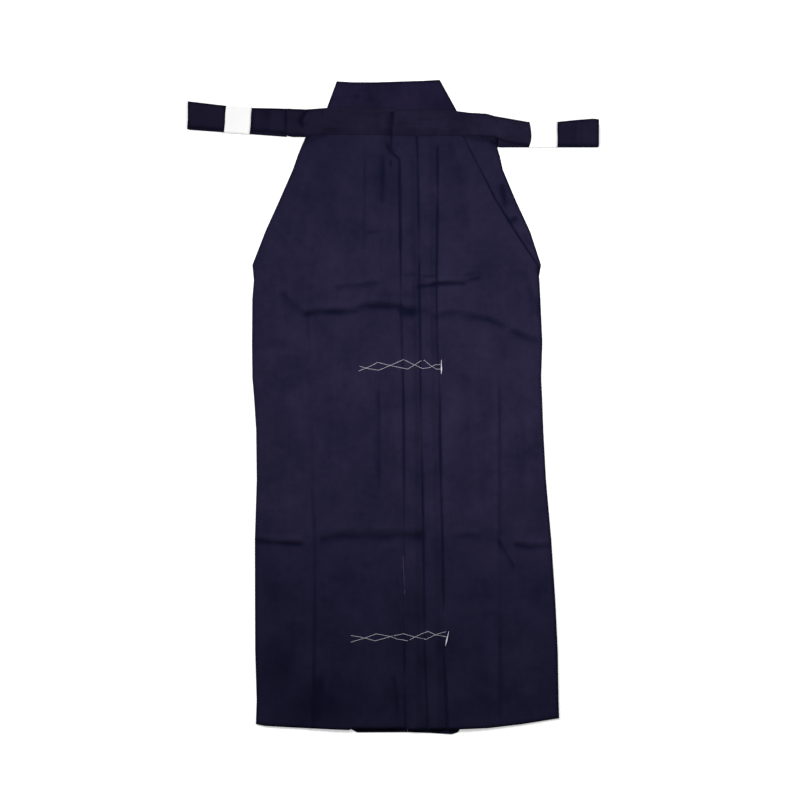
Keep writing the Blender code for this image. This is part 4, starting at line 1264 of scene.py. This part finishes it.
def navy_cloth(name, colour, rough, warp_streaks):
    """Navy twill: fine diagonal ribs and threads, uneven dye, faint streaks, and the painted shade of the
    shade attribute.
    """
    finish = Finish(name)
    place = finish.node("ShaderNodeTexCoord", {}, {}, "Object")
    flat = finish.node("ShaderNodeUVMap", {"uv_map": "UVMap"}, {})
    u = finish.node("ShaderNodeSeparateXYZ", {}, {"Vector": flat}, "X")
    v = finish.node("ShaderNodeSeparateXYZ", {}, {"Vector": flat}, "Y")
    shade = finish.node("ShaderNodeAttribute", {"attribute_name": "shade"}, {}, "Fac")
    ribs = ((u + v) * (2 * math.pi / 0.0011)).sine()
    threads = (u * (2 * math.pi / 0.0006)).sine() * (v * (2 * math.pi / 0.0006)).sine()
    blotches = finish.noise(place, 16.0, 2.0)
    mottle = finish.noise(place, 90.0, 3.0)
    streaks = finish.noise(finish.stretched(flat, (warp_streaks, 9.0, 1.0)), 1.0, 3.0)
    picks = finish.noise(finish.stretched(flat, (9.0, warp_streaks, 1.0)), 1.0, 2.0)
    grain = finish.noise(place, 1500.0, 1.0)
    tone = 1.0 + blotches * 1.1 + mottle * 0.6 + streaks * 0.45 + picks * 0.25 + grain * 0.25
    # Painted shade: the shade attribute darkens the colour and turns it bluer
    tone = tone * (1.0 - shade * SHADE_DEPTH)
    kept = tuple(part * share for part, share in zip(colour, DEEP_BLUE))
    finish.set(Base_Color=finish.tinted(colour, tone, kept))
    finish.set(Roughness=rough + mottle * 0.12 + ribs * 0.02)
    finish.set(Specular_IOR_Level=0.05, Sheen_Weight=0.05)
    finish.set(Sheen_Roughness=0.5, Sheen_Tint=(0.62, 0.66, 1.0, 1.0))
    height = ribs * 0.5 + threads * 0.3 + grain * 0.6 + streaks * 0.5
    finish.bump(height, 0.35, 0.00015)
    return finish.material


def white_paper():
    """Plain white paper: faint fibres and a soft, uneven surface."""
    finish = Finish("plain_paper")
    place = finish.node("ShaderNodeTexCoord", {}, {}, "Object")
    fibres = finish.noise(finish.stretched(place, (900.0, 260.0, 900.0)), 1.0, 4.0)
    clouds = finish.noise(place, 60.0, 3.0)
    tone = 1.0 + fibres * 0.05 + clouds * 0.05
    finish.set(Base_Color=finish.tinted((0.92, 0.92, 0.92), tone))
    finish.set(Roughness=0.75 + fibres * 0.1)
    finish.set(Specular_IOR_Level=0.3)
    finish.bump(fibres + clouds * 0.6, 0.25, 0.0002)
    return finish.material


def basting_cotton(name, colour):
    """Twisted cotton thread: plies that run round the thread, and a little fluff."""
    finish = Finish(name)
    place = finish.node("ShaderNodeTexCoord", {}, {}, "Object")
    flat = finish.node("ShaderNodeUVMap", {"uv_map": "UVMap"}, {})
    u = finish.node("ShaderNodeSeparateXYZ", {}, {"Vector": flat}, "X")
    v = finish.node("ShaderNodeSeparateXYZ", {}, {"Vector": flat}, "Y")
    plies = (u * 2000.0 + v * (2 * math.pi / 0.0014)).sine()
    fluff = finish.noise(place, 2500.0, 2.0)
    finish.set(Base_Color=finish.tinted(colour, 1.0 + plies * 0.12 + fluff * 0.2))
    finish.set(Roughness=0.85 + fluff * 0.1)
    finish.set(Specular_IOR_Level=0.2, Sheen_Weight=0.2)
    finish.bump(plies + fluff, 0.5, 0.0002)
    return finish.material


def pale_floor():
    """A plain pale surface with a barely uneven tone."""
    finish = Finish("pale_surface")
    place = finish.node("ShaderNodeTexCoord", {}, {}, "Object")
    finish.set(Base_Color=finish.tinted((0.93, 0.93, 0.93), 1.0 + finish.noise(place, 6.0, 2.0) * 0.01))
    finish.set(Roughness=0.9)
    finish.set(Specular_IOR_Level=0.1, Emission_Color=(1.0, 1.0, 1.0, 1.0), Emission_Strength=FLOOR_GLOW)
    return finish.material


def add_floor():
    """The surface that the garment lies on."""
    reach = 6.0
    corners = [(-reach, -reach), (reach, -reach), (reach, reach), (-reach, reach)]
    mesh = bpy.data.meshes.new("floor")
    mesh.from_pydata([(x, y, -0.0003) for x, y in corners], [], [(0, 1, 2, 3)])
    mesh.materials.append(pale_floor())
    floor = bpy.data.objects.new("floor", mesh)
    bpy.context.scene.collection.objects.link(floor)


def add_light():
    """A broad window's even light from the upper left, a soft lamp overhead, and an even sky."""
    window = bpy.data.objects.new("window_light", bpy.data.lights.new("window_light", "SUN"))
    window.data.energy = WINDOW_STRENGTH
    window.data.angle = math.radians(WINDOW_SPREAD)
    flat = math.hypot(WINDOW_FROM[0], WINDOW_FROM[1])
    lean = math.atan2(flat, WINDOW_FROM[2])
    turn = math.atan2(WINDOW_FROM[0], -WINDOW_FROM[1])
    window.rotation_euler = (lean, 0.0, turn)
    ceiling = bpy.data.objects.new("ceiling_light", bpy.data.lights.new("ceiling_light", "AREA"))
    ceiling.data.shape = "SQUARE"
    ceiling.data.size = CEILING_SIZE
    ceiling.data.energy = CEILING_POWER
    ceiling.location = CEILING_PLACE
    for light in (window, ceiling):
        bpy.context.scene.collection.objects.link(light)
    world = bpy.data.worlds.new("even_sky")
    world.use_nodes = True
    background = world.node_tree.nodes["Background"]
    background.inputs["Color"].default_value = (1.0, 1.0, 1.0, 1.0)
    background.inputs["Strength"].default_value = SKY
    bpy.context.scene.world = world
    bpy.context.scene.view_settings.view_transform = "Standard"


def add_camera():
    """The camera straight above, which takes in the photograph's frame."""
    lens = bpy.data.cameras.new("camera")
    lens.lens = LENS
    lens.sensor_width = SENSOR
    camera = bpy.data.objects.new("camera", lens)
    camera.location = (CAMERA_PLACE[0] * MM, CAMERA_PLACE[1] * MM, PICTURE_WIDTH * MM * LENS / SENSOR)
    bpy.context.scene.collection.objects.link(camera)
    bpy.context.scene.camera = camera


def dress():
    """Make every piece of the garment."""
    front = navy_cloth("navy_twill_front", (0.0166, 0.0138, 0.0378), 0.86, 1100.0)
    back = navy_cloth("navy_twill_back", (0.0166, 0.0138, 0.0378), 0.88, 1100.0)
    board = navy_cloth("navy_twill_board", (0.0100, 0.0076, 0.0258), 0.86, 900.0)
    strap = navy_cloth("navy_twill_straps", (0.0112, 0.0086, 0.0252), 0.84, 900.0)
    paper = white_paper()
    basting = basting_cotton("basting_cotton", (0.64, 0.62, 0.7))
    knotted = basting_cotton("knot_cotton", (0.72, 0.71, 0.77))
    loose = basting_cotton("loose_cotton", (0.07, 0.055, 0.09))
    make_back("back_right_cloth", "back_body_right", -1, back)
    make_back("back_left_cloth", "back_body_left", 1, back)
    make_front("front_right_cloth", "front_body_right", -1, FRONT_RIGHT_HEM, front)
    make_front("front_left_cloth", "front_body_left", 1, FRONT_LEFT_HEM, front)
    make_board(board)
    back_strap = make_strip(
        "back_strap_cloth", BACK_STRAP, STRAP_THICK, 0.0, (), UNEVEN_STRAP, False, strap, "strap_cloth",
        "back_strap",
    )
    band = make_strip(
        "front_band_cloth", FRONT_BAND, BAND_THICK, BAND_CROWN, BAND_CREASES, UNEVEN_BAND, True, strap,
        "strap_cloth", "front_band",
    )
    make_bundle("strap_bundle_right_cloth", "strap_bundle_right", BUNDLE_RIGHT, strap)
    make_bundle("strap_bundle_left_cloth", "strap_bundle_left", BUNDLE_LEFT, strap)
    make_paper("paper_right", "paper_band_right", BUNDLE_RIGHT, PAPER_RIGHT, 0.0, paper)
    make_paper("paper_left", "paper_band_left", BUNDLE_LEFT, PAPER_LEFT, PAPER_LEFT_CURVE, paper)
    for name, threads in (("upper", BASTING_UPPER), ("lower", BASTING_LOWER)):
        for number, points in enumerate(threads):
            raised = BASTING_RADIUS * (0.9 + 1.8 * number)
            make_thread(f"basting_{name}_{number + 1}", points, BASTING_RADIUS, raised, basting)
    make_thread("basting_knot_upper", KNOT_UPPER, 0.8, 0.9, knotted, KNOT_RADII)
    make_thread("basting_knot_lower", KNOT_LOWER, 0.8, 0.9, knotted, KNOT_RADII)
    make_thread("loose_thread", LOOSE_THREAD, LOOSE_RADIUS, 0.2, loose)


dress()
add_floor()
add_light()
add_camera()
